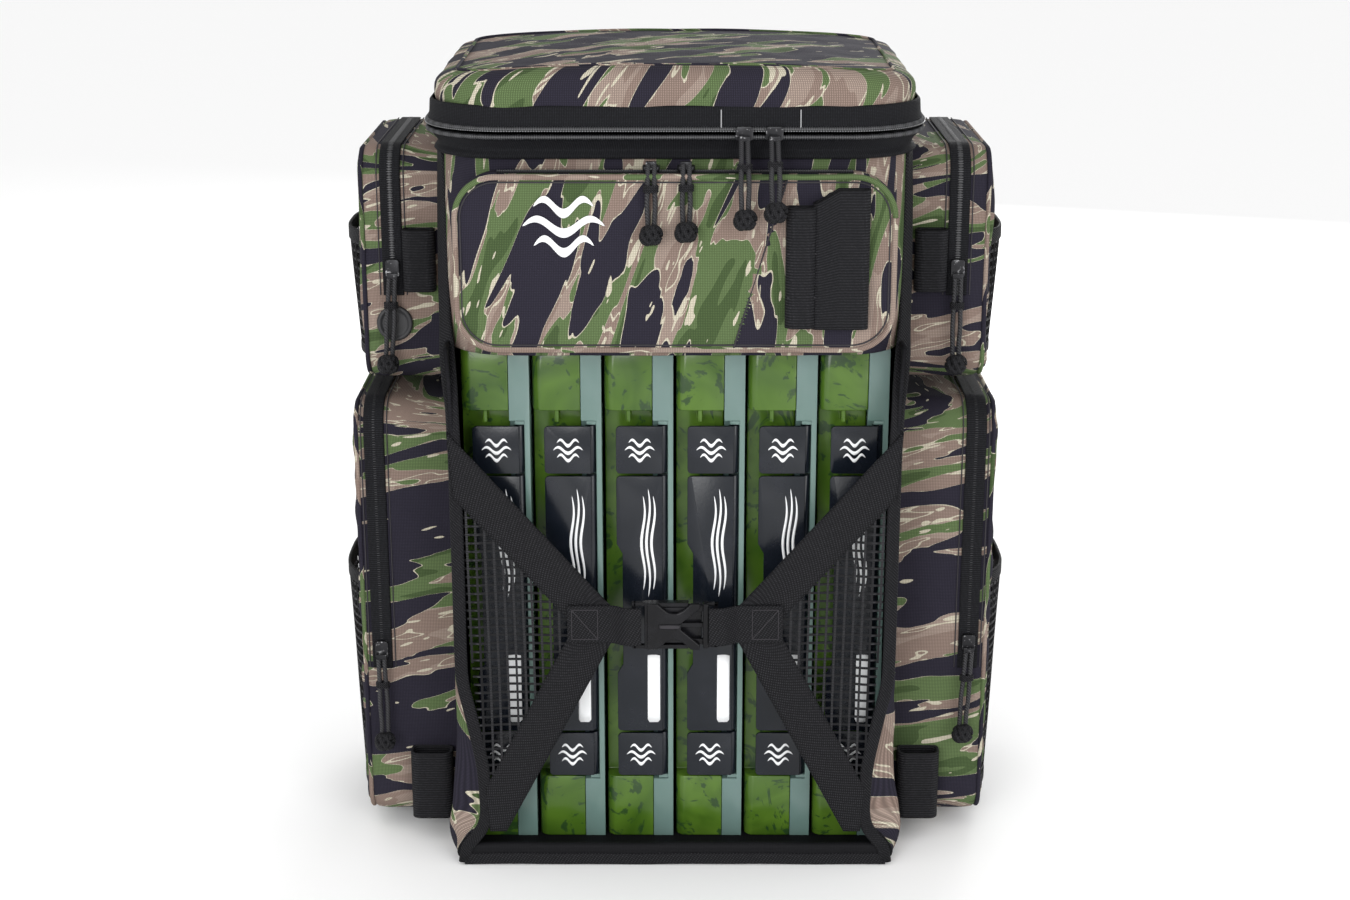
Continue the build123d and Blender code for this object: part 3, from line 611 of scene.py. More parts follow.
# ---- The lid ----
# A padded lid in the same cloth, boxed at the front and sides, with a seam round its flat top. The black tape
# of the zip's upper half runs round its foot, and it hinges along the back.
def lid_line(grow, count=300):
    """The lid's whole plan, from the middle of its back round and home: tight corners behind, wide ones in
    front, grown outwards."""
    half, front, back = HALF + grow, FRONT - grow, 114.0 + grow
    wide, tight = 44.0 + grow, 12.0
    turn = np.linspace(0, pi / 2, 16)
    front_left = np.stack([-half + wide * (1 - np.cos(turn)), front + wide * (1 - np.sin(turn))], axis=1)
    back_left = np.stack([-half + tight * (1 - np.sin(turn)), back - tight * (1 - np.cos(turn))], axis=1)
    left = np.concatenate([[(0, back)], back_left, front_left])
    return resampled(np.concatenate([left, left[::-1] * (-1, 1)]), count)


BOXED = resampled(((4.4, 526.5), (5.2, 531), (5.5, 536), (5.2, 541), (4.2, 545), (2.0, 548.4), (-1.4, 550.9),
                   (-5.4, 552.2), (-9.2, 552.6)), 22)


def tapered(points):
    """The lid's points, with its top narrower in front and lower behind and at its corners."""
    t = held((points[..., 2] - 530.0) / 22.5)
    behind = held((points[..., 1] + 126.0) / 216.0)
    wide = 1 + t * (0.03 * behind - 0.012)
    low = t * (3.6 * behind + 5.2 * np.clip(np.abs(points[..., 0]) / 135.0, 0, 1.1) ** 3)
    return stacked(points[..., 0] * wide, points[..., 1], points[..., 2] - low)


grid = tapered(around(BOXED, lid_line, 300))
run = np.arange(300) * 2.75
push = creases(run[None, :], grid[:, :, 2], 0.7, 21) * held((553 - grid[:, :, 2]) / 14)
grid[:, :, :2] *= 1 + push[:, :, None] / 180.0
uv = stacked(run[None, :], grid[:, :, 2])
lid_side = surface("lid_side", grid, camouflage("lid_side_print", 66.0, (0.55, 0.11), 0.53), black_cloth, uv=uv)
fitted(thickened(lid_side, 3.0, 1, 1), "lid", "camo_cloth", "lid_shell")
edge = lid_line(-9.0, 300)
rows = np.linspace(1, 0, 26)[:, None]
a, b = edge[None, :, 0] * rows, (edge[None, :, 1] + 10.0) * rows
high = 552.4 + 1.5 * (1 - (a / 142.0) ** 2) * (1 - (b / 122.0) ** 2) + creases(a, b, 0.7, 23) * (1 - rows ** 6)
# The flat top's print is cut at a lower ink level than the other cloth, so more of it is near black. Besides the
# print, this is painted shade that darkens the top of the lid.
top = surface("lid_top", tapered(stacked(a, b - 10.0, high)),
              camouflage("lid_top_print_painted_shade", 36.0, (0.23, 0.71), 0.495), black_cloth, uv=stacked(a, b))
fitted(thickened(top, 3.0, 1, 1), "lid", "camo_cloth")
ring = around([(-8.6, 552.7)], lid_line, 300)[0]
ring[:, 2] += 0.25 * np.sin(np.arange(300) / 5.0)
sewn("camo_cloth", "lid_seam", tube(tapered(ring), 1.25, 8), camouflage("seam_print", 30.0, (0.9, 0.3)),
     body="lid")
tape = around(resampled([(0.4, 513.4), (5.6, 513.2), (7.2, 514.2), (7.4, 515.4), (6.6, 517.0), (6.0, 520),
                         (5.8, 524), (5.6, 527.2), (4.4, 528.8)], 26), flare=FLARE)
fitted(thickened(surface("lid_tape", tape, zip_tape), 1.0), "lid", "zip_tape", "lid_zip")
coil("lid_coil", around([(7.2, 514.3)], count=400, flare=FLARE)[0], (0, 0, 1), 1.5, 1.5, "lid")
line = around([(8.75, 513.3)], count=900, flare=FLARE)[0, 9:-9]
sewn("zip_tape", "lid_teeth", tube(line, 0.36, 6), teeth_mat, body="lid")
a, b = np.meshgrid(np.linspace(-149.5, 149.5, 120), np.linspace(502.0, 531.0, 24))
waved = 121.2 + 0.5 * np.sin(a / 16.0) * np.sin((b - 502) / 9.2)
hinge = surface("lid_hinge_cloth", stacked(a, waved, b), black_cloth, flip=True)
thickened(hinge, 1.6)
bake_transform(hinge)
thread = finish("thread", (0.30, 0.30, 0.31), 0.7)[0]
for x in (29.0, 79.0):
    tack = stacked(x, -142.0, np.linspace(514.5, 526.5, 24))
    tack[:, 1] -= np.interp(tack[:, 2], (514, 517, 527), (1.2, 0.2, -1.0))
    sewn("zip_tape", f"lid_tack_{x:.0f}", tube(tack, 0.4, 6), thread, body="lid")


# ---- The front pocket ----
# A flat pocket of two pieces of the camouflage cloth, seamed aslant on the right, with a piping of the same cloth
# round its front. Its zip lies on top. A plain wave emblem is printed on it in white.
seam_top, seam_foot = np.array([70.5, 486.0]), np.array([37.5, 377.0])


def right_of_seam(middle):
    """1 where a point is to the right of the slanting seam, and otherwise 0."""
    along = seam_foot[0] + (middle[:, 2] - seam_foot[1]) / (seam_top[1] - seam_foot[1]) * (seam_top - seam_foot)[0]
    return (middle[:, 0] > along).astype(int)


POCKET_Z = 431.0
POCKET_EDGE = [(0.6, 0.0), (0, 6), (-0.4, 13), (0.2, 18.5), (1.6, 21.2), (3.2, 22.0)]
a, b, h, uv = pillow(rounded(140, 57, 27, 240), POCKET_EDGE, 1.0, 26)
h += creases(a, b, 0.35, 31) * (h > 21)
grid = stacked(a, FRONT - 0.3 - h, b + POCKET_Z)
pocket = surface("front_pocket", grid, camouflage("pocket_print", 70.0, (0.37, 0.64), 0.565),
                 camouflage("pocket_print_right", 84.0, (0.81, 0.27), 0.54), uv=uv, closed=True,
                 pick=right_of_seam)
fitted(pocket, "bag", "camo_cloth", "front_pocket")
ring = rounded(138.6, 55.6, 25.6, 300)
ring = stacked(ring[:, 0], -157.0, ring[:, 1] + POCKET_Z)
sewn("camo_cloth", "front_pocket_piping", tube(ring, 1.9, 10), camouflage("piping_print", 0.0, (0.2, 0.9), 1.0))
ring = rounded(135.4, 52.4, 22.6, 300)
ring = stacked(ring[:, 0], -157.5, ring[:, 1] + POCKET_Z)
dark_thread = finish("dark_thread", (0.02, 0.018, 0.022), 0.8)[0]
sewn("camo_cloth", "front_pocket_groove", tube(ring, 0.55, 6), dark_thread)
t = np.linspace(0.0, 1.0, 60)[:, None]
line = np.column_stack([seam_top * (1 - t) + seam_foot * t, np.full(60, -158.1)])[:, [0, 2, 1]]
line[:, 1] += 0.35
sewn("camo_cloth", "front_pocket_seam", tube(line, 0.6, 6), dark_thread)
line = stacked(np.linspace(-112, 112, 120), -147.3, 488.5)
track = carried(line, (0, 1, 0), rounded(5.0, 0.55, 0.5, 24))
sewn("zip_tape", "front_zip_tape", track, zip_tape)
line[:, 2] += 0.3
coil("front_zip_coil", line, (0, 1, 0), 1.8, 0.9)
print_white = finish("print_white", (0.80, 0.81, 0.82), 0.5)[0]


def ripple(name, centre, wide, high, y, thick, material, upright=False):
    """A printed wave: a bar along a sine, as long as wide, that tapers to nothing at both ends."""
    t = np.linspace(0, 1, 40)
    along, mid = wide * (t - 0.5), 0.5 * high * np.sin(2 * pi * t * 1.5)
    half = thick * np.sqrt(held(np.sin(pi * t)))
    loop = [(mid - half, 0), (mid + half, 0), (mid + half, 0.25), (mid - half, 0.25), (mid - half, 0)]
    rows = []
    for off, back in loop:
        first, second = (off, along) if upright else (along, off)
        rows.append(stacked(centre[0] + first, y + back, centre[1] + second))
    return surface(name, np.array(rows), material, closed=True)


emblem = [ripple(f"emblem_{k}", (-70.0, 456.0 - 12.5 * k), wide, 9.0, -158.75, 3.0, print_white)
          for k, wide in ((-1, 38.0), (0, 52.0), (1, 38.0))]
emblem = join("front_emblem", *emblem)
fitted(emblem, "bag", "camo_cloth")


# ---- The webbing sheath and the loops ----
# Flattened sleeves of heavy ribbed webbing, open at both ends and sewn down at the back: two side by side on the
# front pocket for pliers and a tool, and rod loops on the side pockets.
heavy_web = threads("heavy_web", (0.003, 0.003, 0.004), (0.050, 0.050, 0.056), 0.65, 1.0, 0.7, 0.0, 2.8)


def sleeve(name, x0, x1, y0, y1, z0, z1, radius, wall, slope, swell, *nodes):
    """An open sleeve on the bag: a rounded rectangle in plan from z0 to z1. Its top edge falls by slope towards
    its left side, and it swells by that much half way down."""
    ring = rounded((x1 - x0) / 2, (y1 - y0) / 2, radius, 90)
    share = np.linspace(0, 1, 26)[:, None]
    left = held(0.45 - (ring[:, 0] / (x1 - x0) + 0.5))[None, :] / 0.45
    high = z0 + share * (z1 - slope * left - z0)
    out = 1 + swell * np.sin(pi * share) / 10.0
    across, deep = (x0 + x1) / 2 + ring[None, :, 0], (y0 + y1) / 2 + ring[None, :, 1] * out
    piece = thickened(surface(name, stacked(across, deep, high), heavy_web, flip=True), wall)
    fitted(piece, "bag", "webbing", *nodes)


sleeve("sheath_narrow", 71, 87.4, -168.2, -158.0, 392, 469, 4.4, 1.5, 0.0, 0.4, "webbing_holders")
sleeve("sheath_wide", 87.8, 121, -166.2, -158.0, 391, 480, 3.4, 1.5, 9.0, 0.4)
t = np.linspace(0, 1, 30)
for z in (412.0, 440.0):
    line = stacked(70.5 + 51.0 * t, -168.3 + 2.6 * held((t - 0.3) * 12), z)
    sewn("webbing", f"sheath_stitch_{z:.0f}", tube(line, 0.45, 6), dark_thread)
for side, word in SIDES:
    for level, x0, x1, y0, y1, z0, z1 in (("lower", 159, 185, -101, -88.1, 18, 68),
                                          ("upper", 162, 180.5, -81, -72.1, 396, 438)):
        low, high = sorted((side * x0, side * x1))
        sleeve(f"rod_loop_{level}_{word}", low, high, y0, y1, z0, z1, 4.2, 1.7, 0.0, 0.6)


# ---- The side pockets, their zips, the cable port ----
# Boxed pockets of the camouflage cloth, a short one over a tall one on each side. A zip runs up each front and
# over the top, and a round rubber port for a cable lies below the end of the upper left one.
POCKETS = {
    # name: (how far out, y from and to, z from and to, its zip's x, the zip's foot)
    "upper": (62.0, -72.0, 80.0, 331.0, 491.0, 189.5, 392.0),
    "lower": (70.0, -88.0, 90.0, 12.0, 320.0, 205.0, 128.0),
}
for side, word in SIDES:
    for level, (out, y0, y1, z0, z1, zip_x, foot) in POCKETS.items():
        seed = 41 + 2 * (side > 0) + (level == "lower")
        tall = (z1 - z0) / 2
        a, b, h, uv = pillow(rounded((y1 - y0) / 2, tall, 20, 260),
                             [(0, 0)] + [(0, out * k / 16.0) for k in range(1, 14)]
                             + [(0.6, out - 6.5), (2.4, out - 3.0), (5.2, out - 0.8), (8.0, out + 0.4)], 3.5, 22)
        near = held(-a / ((y1 - y0) / 2)) ** 4
        draw_in = creases(h, b, 1.1, seed) * held(h / 10.0) * held((out - h) / 12.0)
        strip = held(np.abs(h - (zip_x - HALF)) / 9.0 - 0.6)
        a = a - near * (0.5 * draw_in - 0.5) * strip
        bulge = creases(a, b, 1.3, seed + 10) * (h > out - 1)
        grid = stacked(side * (HALF - 0.4 + h + bulge), (y0 + y1) / 2 + a, (z0 + z1) / 2 + b)
        print_name = f"pocket_print_{level}_{word}"
        pocket = surface(f"side_pocket_{level}_{word}", grid,
                         camouflage(print_name, 12.0 * side, (0.17 * seed, 0.29 * seed)), uv=uv, closed=True)
        fitted(pocket, "bag", "camo_cloth", f"side_pocket_{level}_{word}")
        turn = np.linspace(0, pi / 2, 14)
        arc = stacked(y0 + 20 - 20.9 * np.cos(turn), z1 - 20 + 20.9 * np.sin(turn))
        path = np.concatenate([[(y0 - 0.9, foot)], arc, [(y1 - 20, z1 + 0.9)]])
        path = resampled(path, 260)
        line = stacked(side * zip_x, *path.T)
        tape = carried(line, (1, 0, 0), rounded(7.0, 0.6, 0.55, 30))
        sewn("zip_tape", f"zip_tape_{level}_{word}", tape, zip_tape)
        lifted = line + np.cross((1, 0, 0), np.gradient(line, axis=0)) * -0.55
        coil(f"zip_coil_{level}_{word}", lifted, (1, 0, 0), 2.2, 1.2)
        # Rows of stitching beside the zip, and the seam where the front meets the outer face.
        for step in (-9.0, 9.0):
            beside = line + (step, 0, 0)
            beside = beside[(beside[:, 2] > foot - 4)]
            beside[:, 1] += 0.7 * (beside[:, 1] < y0 + 3)
            sewn("camo_cloth", f"zip_stitch_{level}_{word}_{step:.0f}", tube(beside, 0.45, 5), dark_thread)
        ring = rounded((y1 - y0) / 2 - 2.6, tall - 2.6, 17.4, 260)
        rim = stacked(side * (HALF + out - 3.2), (y0 + y1) / 2 + ring[:, 0], (z0 + z1) / 2 + ring[:, 1])
        sewn("camo_cloth", f"pocket_piping_{level}_{word}", tube(rim, 1.7, 8), bpy.data.materials[print_name])

rubber, rubber_tree, rubber_shader = finish("port_rubber", (0.014, 0.014, 0.016), 0.5, Specular_IOR_Level=0.45)
bumped(rubber_tree, rubber_shader, noise(rubber_tree, "Object", 1500.0), 0.25, 0.0003)
turn = np.linspace(0, 2 * pi, 65)[None, :]
radius = np.array([0, 12, 12.2, 11.8, 10.6, 9.6, 8.8, 8.0, 5.5, 2.5, 0])[:, None]
front = np.array([0, 0, -1.4, -2.1, -2.4, -2.2, -1.5, -1.4, -1.7, -1.9, -1.95])[:, None]
grid = stacked(-189.5 + radius * np.cos(turn), -72.1 + front, 372.5 + radius * np.sin(turn))
sewn("port_rubber", "cable_port", grid, rubber, "cable_port")
for tag, dx, dz in (("long", 1.2, 5.4), ("short", 2.6, 1.2)):
    ends = np.array([(-189.5 - dx, -74.15, 372.5 - dz), (-189.5 + dx, -74.15, 372.5 + dz)])
    sewn("port_rubber", f"port_slit_{tag}", tube(resampled(ends, 9), 0.42, 6), dark_thread)


# ---- The stretch nets on the side pockets ----
# Knitted net with six-millimetre square holes, sewn down at its foot and sides, open and bound along its top.
net_mat = threads("net", (0.006, 0.006, 0.007), (0.05, 0.05, 0.055), 1.2, 0.5, 0.5)


def strands(name, lines, wide, thick, out):
    """Flat knitted strands: a closed four-sided section carried along each line (N, 3), wide across it and
    thick along `out`."""
    grids = []
    for line in lines:
        normal = np.broadcast_to(np.asarray(out, float), line.shape)
        across = unit(np.cross(unit(np.gradient(line, axis=0)), normal))
        corners = np.array([(-1, -1), (1, -1), (1, 1), (-1, 1), (-1, -1)]) * 0.5
        grids.append(carried(line, across, corners * (wide, thick), normal))
    points, quads, start = [], [], 0
    for grid in grids:
        quads.append(quads_of(*grid.shape[:2]) + start)
        points.append(grid.reshape(-1, 3))
        start += len(points[-1])
    points, quads = np.concatenate(points) * 0.001, np.concatenate(quads)
    mesh = bpy.data.meshes.new(name)
    mesh.from_pydata(points.tolist(), [], quads.tolist())
    mesh.uv_layers.new(name="UVMap").data.foreach_set("uv", points[quads.ravel()][:, [1, 2]].ravel())
    cleaned(mesh, 1e-6, outwards=True)
    return show(name, mesh, net_mat)


CELL = 6.0
for side, word in SIDES:
    for level, pocket_out, net_out, y0, y1, z0, z1 in (("lower", 70.0, 15.0, -52.0, 58.0, 20.0, 180.0),
                                                       ("upper", 62.0, 13.0, -40.0, 50.0, 345.0, 425.0)):
        base_x = HALF + pocket_out + 1.2

        def net_at(y, z, base_x=base_x, net_out=net_out, y0=y0, y1=y1, z0=z0, z1=z1, side=side):
            """The net's x: it stands out most half way across and at its top, and not at its sides."""
            share = held((y - y0) / (y1 - y0))
            rise = 0.55 + 0.45 * held((z - z0) / (z1 - z0))
            return side * (base_x + net_out * (1 - np.abs(2 * share - 1) ** 3.2) * rise)
        length = y1 - y0
        lines = []
        for y in np.arange(y0 + 3, y1, CELL):
            z = np.linspace(z0, z1, 24)
            lines.append(stacked(net_at(y, z), y + 0.7 * np.sin(z / 17.0), z))
        for z in np.arange(z0 + 3, z1, CELL):
            y = np.linspace(y0, y1, 40)
            lines.append(stacked(net_at(y, z), y, z + 0.5 * np.sin(y / 13.0)))
        net = strands(f"side_net_{level}_{word}", lines, 1.6, 0.9, (side, 0, 0))
        fitted(net, "bag", "net", *(["side_mesh"] if (side, level) == (-1, "lower") else []))
        y = np.linspace(y0, y1, 60)
        hem_line = stacked(net_at(y, z1), y, z1)
        hem = carried(hem_line, (0, 0, 1), rounded(5.0, 1.1, 1.0, 24))
        hem = sewn("webbing", f"net_hem_{level}_{word}", hem, webbing)
        foot_line = stacked(net_at(y, z0), y, z0)
        ends = [np.array([(side * base_x, e, z0), (side * base_x, e, z1)]) for e in (y0, y1)]
        strip = rounded(3.0, 1.0, 0.9, 20)
        foot = surface(f"net_foot_{level}_{word}", carried(foot_line, (0, 0, 1), strip), webbing, closed=True)
        sides = [surface(f"net_side_{level}_{word}_{k}", carried(resampled(e, 20), (0, 1, 0), strip), webbing,
                         closed=True) for k, e in enumerate(ends)]
        bound = fitted(join(f"net_binding_{level}_{word}", foot, *sides), "bag", "webbing")


# ---- The harness: two Y halves of webbing with net between, and the side-release buckle ----
# Each half is two webs that part from a short strap at the buckle and are sewn under the wall's binding, with a
# triangle of stretch net between them. The buckle's housing is on the left, its plug on the right.
BUCKLE_Z = 181.0
# The sewn edge in x and z: its foot, its top and its slope. And the middles of the webs where they part, and
# where the upper and the lower one reach that edge.
FOOT_X, FOOT_Z, TOP_X, TOP_Z = 129.6, 38.0, 149.0, 299.0
SLOPE = (TOP_X - FOOT_X) / (TOP_Z - FOOT_Z)
PART_X, UPPER_X, UPPER_Z, LOWER_X, LOWER_Z = 58.0, 147.8, 290.0, 130.5, 52.0


def on_hinge(z):
    """The half width at which the harness is sewn to the binding at that height."""
    return FOOT_X + (z - FOOT_Z) * SLOPE


def web(name, side, start, end, wide, y, material):
    """A flat web from start to end (x, z), its far end cut along the sewn edge. Its lanes run the same way, each
    as far as that edge or down to the lip, and its front face is at y."""
    start, end = np.array(start, float), np.array(end, float)
    way = (end - start) / np.linalg.norm(end - start)
    lane = np.linspace(-wide / 2, wide / 2, 9)[:, None] * np.array([-way[1], way[0]])[None]
    first = start + lane
    reach = (on_hinge(first[:, 1]) - first[:, 0]) / (way[0] - SLOPE * way[1])
    if way[1] < 0:
        reach = np.minimum(reach, (first[:, 1] - 26.0) / -way[1])
    t = np.linspace(0, 1, 40)[None, :, None]
    flat = first[:, None] + t * reach[:, None, None] * way
    front = y + 0.35 * np.sin(flat[:, :, 0] / 17.0)
    grid = stacked(side * flat[:, :, 0], front, flat[:, :, 1])
    uv = stacked(np.linalg.norm(flat - start, axis=2), np.linspace(0, wide, 9)[:, None])
    return thickened(surface(name, grid, material, uv=uv, flip=side < 0), 1.7)


for side, word in SIDES:
    body = f"harness_{word}"
    upper = web(f"harness_web_upper_{word}", side, (54.0, 184.5), (147.0, 290.5), 27.5, -139.4, webbing)
    lower = web(f"harness_web_lower_{word}", side, (54.0, 175.5), (126.5, 37.0), 27.5, -139.1, webbing)
    fitted(upper, body, "webbing", f"harness_{word}")
    fitted(lower, body, "webbing")
    x = np.linspace(22.6, 72.5, 60)
    line = stacked(side * x, -141.0 - 5.6 * eased((43 - x) / 12), BUCKLE_Z)
    strap = carried(line, (0, 0, 1), rounded(13.6, 0.95, 0.9, 40))
    sewn("webbing", f"harness_strap_{word}", strap, webbing, body=body)
    box_xz = np.array([(52, 170.5), (69.5, 170.5), (69.5, 191.5), (52, 191.5), (52, 170.5), (69.5, 191.5)])
    box_line = resampled(stacked(side * box_xz[:, 0], -142.05, box_xz[:, 1]), 120)
    sewn("webbing", f"harness_stitch_{word}", tube(box_line, 0.35, 5), dark_thread, body=body)

    def net_y(x):
        """The net lies flat behind the webs, and bends back near the wall it is sewn to."""
        return -138.0 + 5.0 * held((x - 128.0) / 20.0) ** 1.5
    lines = []
    for x0 in np.arange(60.0, 149.0, CELL):
        z_high = min(BUCKLE_Z + (x0 - PART_X) * (UPPER_Z - BUCKLE_Z) / (UPPER_X - PART_X), TOP_Z)
        z_low = max(BUCKLE_Z - (x0 - PART_X) * (BUCKLE_Z - LOWER_Z) / (LOWER_X - PART_X),
                    FOOT_Z + (x0 - FOOT_X) / SLOPE)
        z = np.linspace(z_low, z_high, 30)
        bend = 1.1 * np.sin((z - BUCKLE_Z) / 60.0) * held((x0 - PART_X) / 40.0)
        xs = np.minimum(x0 + bend, on_hinge(z))
        lines.append(stacked(side * xs, net_y(xs), z))
    for z0 in np.arange(58.0, 289.0, CELL):
        above = z0 > BUCKLE_Z
        share = (z0 - BUCKLE_Z) / ((UPPER_Z if above else LOWER_Z) - BUCKLE_Z)
        first, last = PART_X + share * ((UPPER_X if above else LOWER_X) - PART_X), float(on_hinge(z0))
        if last - first > 4:
            xs = np.linspace(first, last, 24)
            zs = z0 + 0.5 * np.sin(xs / 14.0) - 1.0 * held((xs - 120) / 20)
            lines.append(stacked(side * xs, net_y(xs) + 0.25, zs))
    net = strands(f"harness_net_{word}", lines, 1.5, 0.8, (0, 1, 0))
    fitted(net, body, "net")


def bevelled(name, mesh, material, width, segments, limit):
    """The mesh shown smooth, with its edges sharper than the limit in degrees rounded, width in millimetres."""
    mesh.polygons.foreach_set("use_smooth", [True] * len(mesh.polygons))
    piece = show(name, mesh, material)
    edges = piece.modifiers.new("edges", "BEVEL")
    edges.width, edges.segments, edges.limit_method = 0.001 * width, segments, "ANGLE"
    edges.angle_limit, edges.harden_normals = radians(limit), True
    return piece


def softened(node_name, name, body, slot, material, width=0.6):
    """A moulded part: a copy of the node's own shape, welded along its edges, which are then rounded."""
    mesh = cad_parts[node_name].data.copy()
    mesh.materials.clear()
    cleaned(mesh, 2e-6, 1.0)
    return fitted(bevelled(name, mesh, material, width, 2, 28), body, slot, node_name)


def moulded(name, colour, light, roughness, grain=900.0, gloss=0.5):
    """Moulded plastic: a fine spark grain, and faint scuffs that are lighter."""
    made, tree, shader = finish(name, colour, roughness, Specular_IOR_Level=gloss)
    scuff = noise(tree, "Object", 60.0, Detail=4.0)
    tinted(tree, shader, scuff, colour, light, 0.45, 0.8)
    bumped(tree, shader, noise(tree, "Object", grain), 0.12, 0.0003)
    return made


buckle_mat = moulded("buckle_plastic", (0.004, 0.004, 0.005), (0.010, 0.010, 0.012), 0.24, 900.0, 0.2)


def prism(name, outline, y0, y1, width, body, *nodes, material=buckle_mat):
    """A flat moulded part of the buckle on that body: the outline (x, z) at y0 and at y1 with a wall between,
    its edges rounded."""
    outline = np.asarray(outline, float)
    count = len(outline)
    points = np.concatenate([stacked(outline[:, 0], y, outline[:, 1]) for y in (y0, y1)])
    ring = np.arange(count)
    after = np.roll(ring, -1)
    faces = [ring.tolist(), (ring[::-1] + count).tolist()]
    faces += np.column_stack([ring, ring + count, after + count, after]).tolist()
    mesh = bpy.data.meshes.new(name)
    mesh.from_pydata((points * 0.001).tolist(), [], faces)
    cleaned(mesh, outwards=True)
    return fitted(bevelled(name, mesh, material, width, 3, 25), body, "buckle_plastic", *nodes)


HALF_X = [(-18.8, 16.5), (-12.0, 16.5), (-9.0, 13.8), (-5.5, 10.6), (-2.5, 9.4), (1.5, 9.4), (5.5, 11.4),
          (10.5, 16.5), (16.8, 16.5), (16.8, 13.2), (3.2, 1.4)]
x_plate = [(x, BUCKLE_Z + z) for x, z in HALF_X] + [(x, BUCKLE_Z - z) for x, z in HALF_X[::-1]]
prism("buckle_housing", x_plate, -146.6, -143.6, 0.9, "harness_left", "buckle_female")
for tag, x0, x1, z0, z1, y0, y1 in (
        ("rail_top", -20.5, 9, 194.6, 197.5, -144.4, -138.2),
        ("rail_foot", -20.5, 9, 164.5, 167.4, -144.4, -138.2),
        ("end", -20.5, -17.5, 164.7, 197.3, -145.4, -138.2), ("web_bar", -29.0, -26.0, 164.5, 197.5, -144, -140),
        ("side_top", -28, -20, 195.0, 197.5, -144, -140), ("side_foot", -28, -20, 164.5, 167.0, -144, -140),
        ("floor", -18, 18, 167.0, 195.0, -139.4, -138.4)):
    prism(f"buckle_{tag}", [(x0, z0), (x1, z0), (x1, z1), (x0, z1)], y0, y1, 0.5, "harness_left")
turn = np.linspace(0, 2 * pi, 49)
slot_line = stacked(-3.6 + 7.2 * np.sign(np.cos(turn)) * held(np.abs(np.cos(turn)) * 1.6), -146.75,
                    BUCKLE_Z + 1.7 * np.sin(turn))
sewn("buckle_plastic", "buckle_slot_rim", tube(slot_line, 0.5, 6), buckle_mat, body="harness_left")
prism("buckle_slot", [(-10.4, 179.6), (3.2, 179.6), (3.2, 182.4), (-10.4, 182.4)], -146.75, -146.2, 0.2,
      "harness_left", material=dark_thread)
prism("buckle_plug", [(18.8, 165), (22.6, 165), (22.6, 197), (18.8, 197)], -145.4, -139.0, 0.8, "harness_right",
      "buckle_male")
for tag, outline in (
        ("guide", [(-8, 179.4), (19, 179.4), (19, 182.6), (-8, 182.6)]),
        ("tongue_top", [(19, 195), (19, 191), (-10, 189.5), (-15, 190.5), (-15, 193.8), (4, 193.8)]),
        ("tongue_foot", [(19, 167), (19, 171), (-10, 172.5), (-15, 171.5), (-15, 168.2), (4, 168.2)]),
        ("rail_top", [(21, 194.6), (29, 194.6), (29, 197), (21, 197)]),
        ("rail_foot", [(21, 165), (29, 165), (29, 167.4), (21, 167.4)]),
        ("web_bar", [(26, 165), (29, 165), (29, 197), (26, 197)])):
    prism(f"plug_{tag}", outline, -143.0, -140.0, 0.5, "harness_right")


# ---- The tackle trays ----
# Six moulded trays stand on edge: a marbled green base, a frosted clear lid on its right, and a black latch bar
# of two caps and a long grip plate along the front. The caps and plates have a plain printed wave.
tray_green, green_tree, green_shader = finish("tray_green", (0.06, 0.13, 0.015), 0.26, Specular_IOR_Level=0.35,
                                              Coat_Weight=0.1)
green_cloud = noise(green_tree, "Object", 14.0, Detail=2.0, Distortion=2.2)
green_body = blended(green_tree, green_cloud, (0.026, 0.068, 0.005), (0.068, 0.138, 0.014), 0.25, 0.65)
green_veil = noise(green_tree, "Object", 24.0, Detail=4.5, Distortion=4.0, Roughness=0.6)
green_swirl = node(green_tree, "ShaderNodeValToRGB", [("Fac", green_veil)])
for stop, (position, level) in zip([green_swirl.color_ramp.elements[0], green_swirl.color_ramp.elements[1],
                                    green_swirl.color_ramp.elements.new(0.5)],
                                   ((0.57, 0.0), (0.66, 0.0), (0.61, 0.75))):
    stop.position, stop.color = position, (level, level, level, 1)
green_mix = node(green_tree, "ShaderNodeMixRGB", [("Fac", green_swirl.outputs["Color"]),
                                                  ("Color1", green_body)])
green_mix.inputs["Color2"].default_value = (0.010, 0.032, 0.012, 1)
green_tree.links.new(green_mix.outputs["Color"], green_shader.inputs["Base Color"])
tray_clear, clear_tree, clear_shader = finish("tray_clear", (0.20, 0.30, 0.27), 0.25, Specular_IOR_Level=0.5,
                                              Transmission_Weight=0.35)
clear_frost = noise(clear_tree, "Object", 18.0, Detail=3.0)
tinted(clear_tree, clear_shader, clear_frost, (0.125, 0.225, 0.185), (0.215, 0.315, 0.305))
latch_mat = moulded("latch_black", (0.005, 0.007, 0.011), (0.010, 0.012, 0.018), 0.2, 500.0, 0.36)
TRAY_PITCH = 48.0
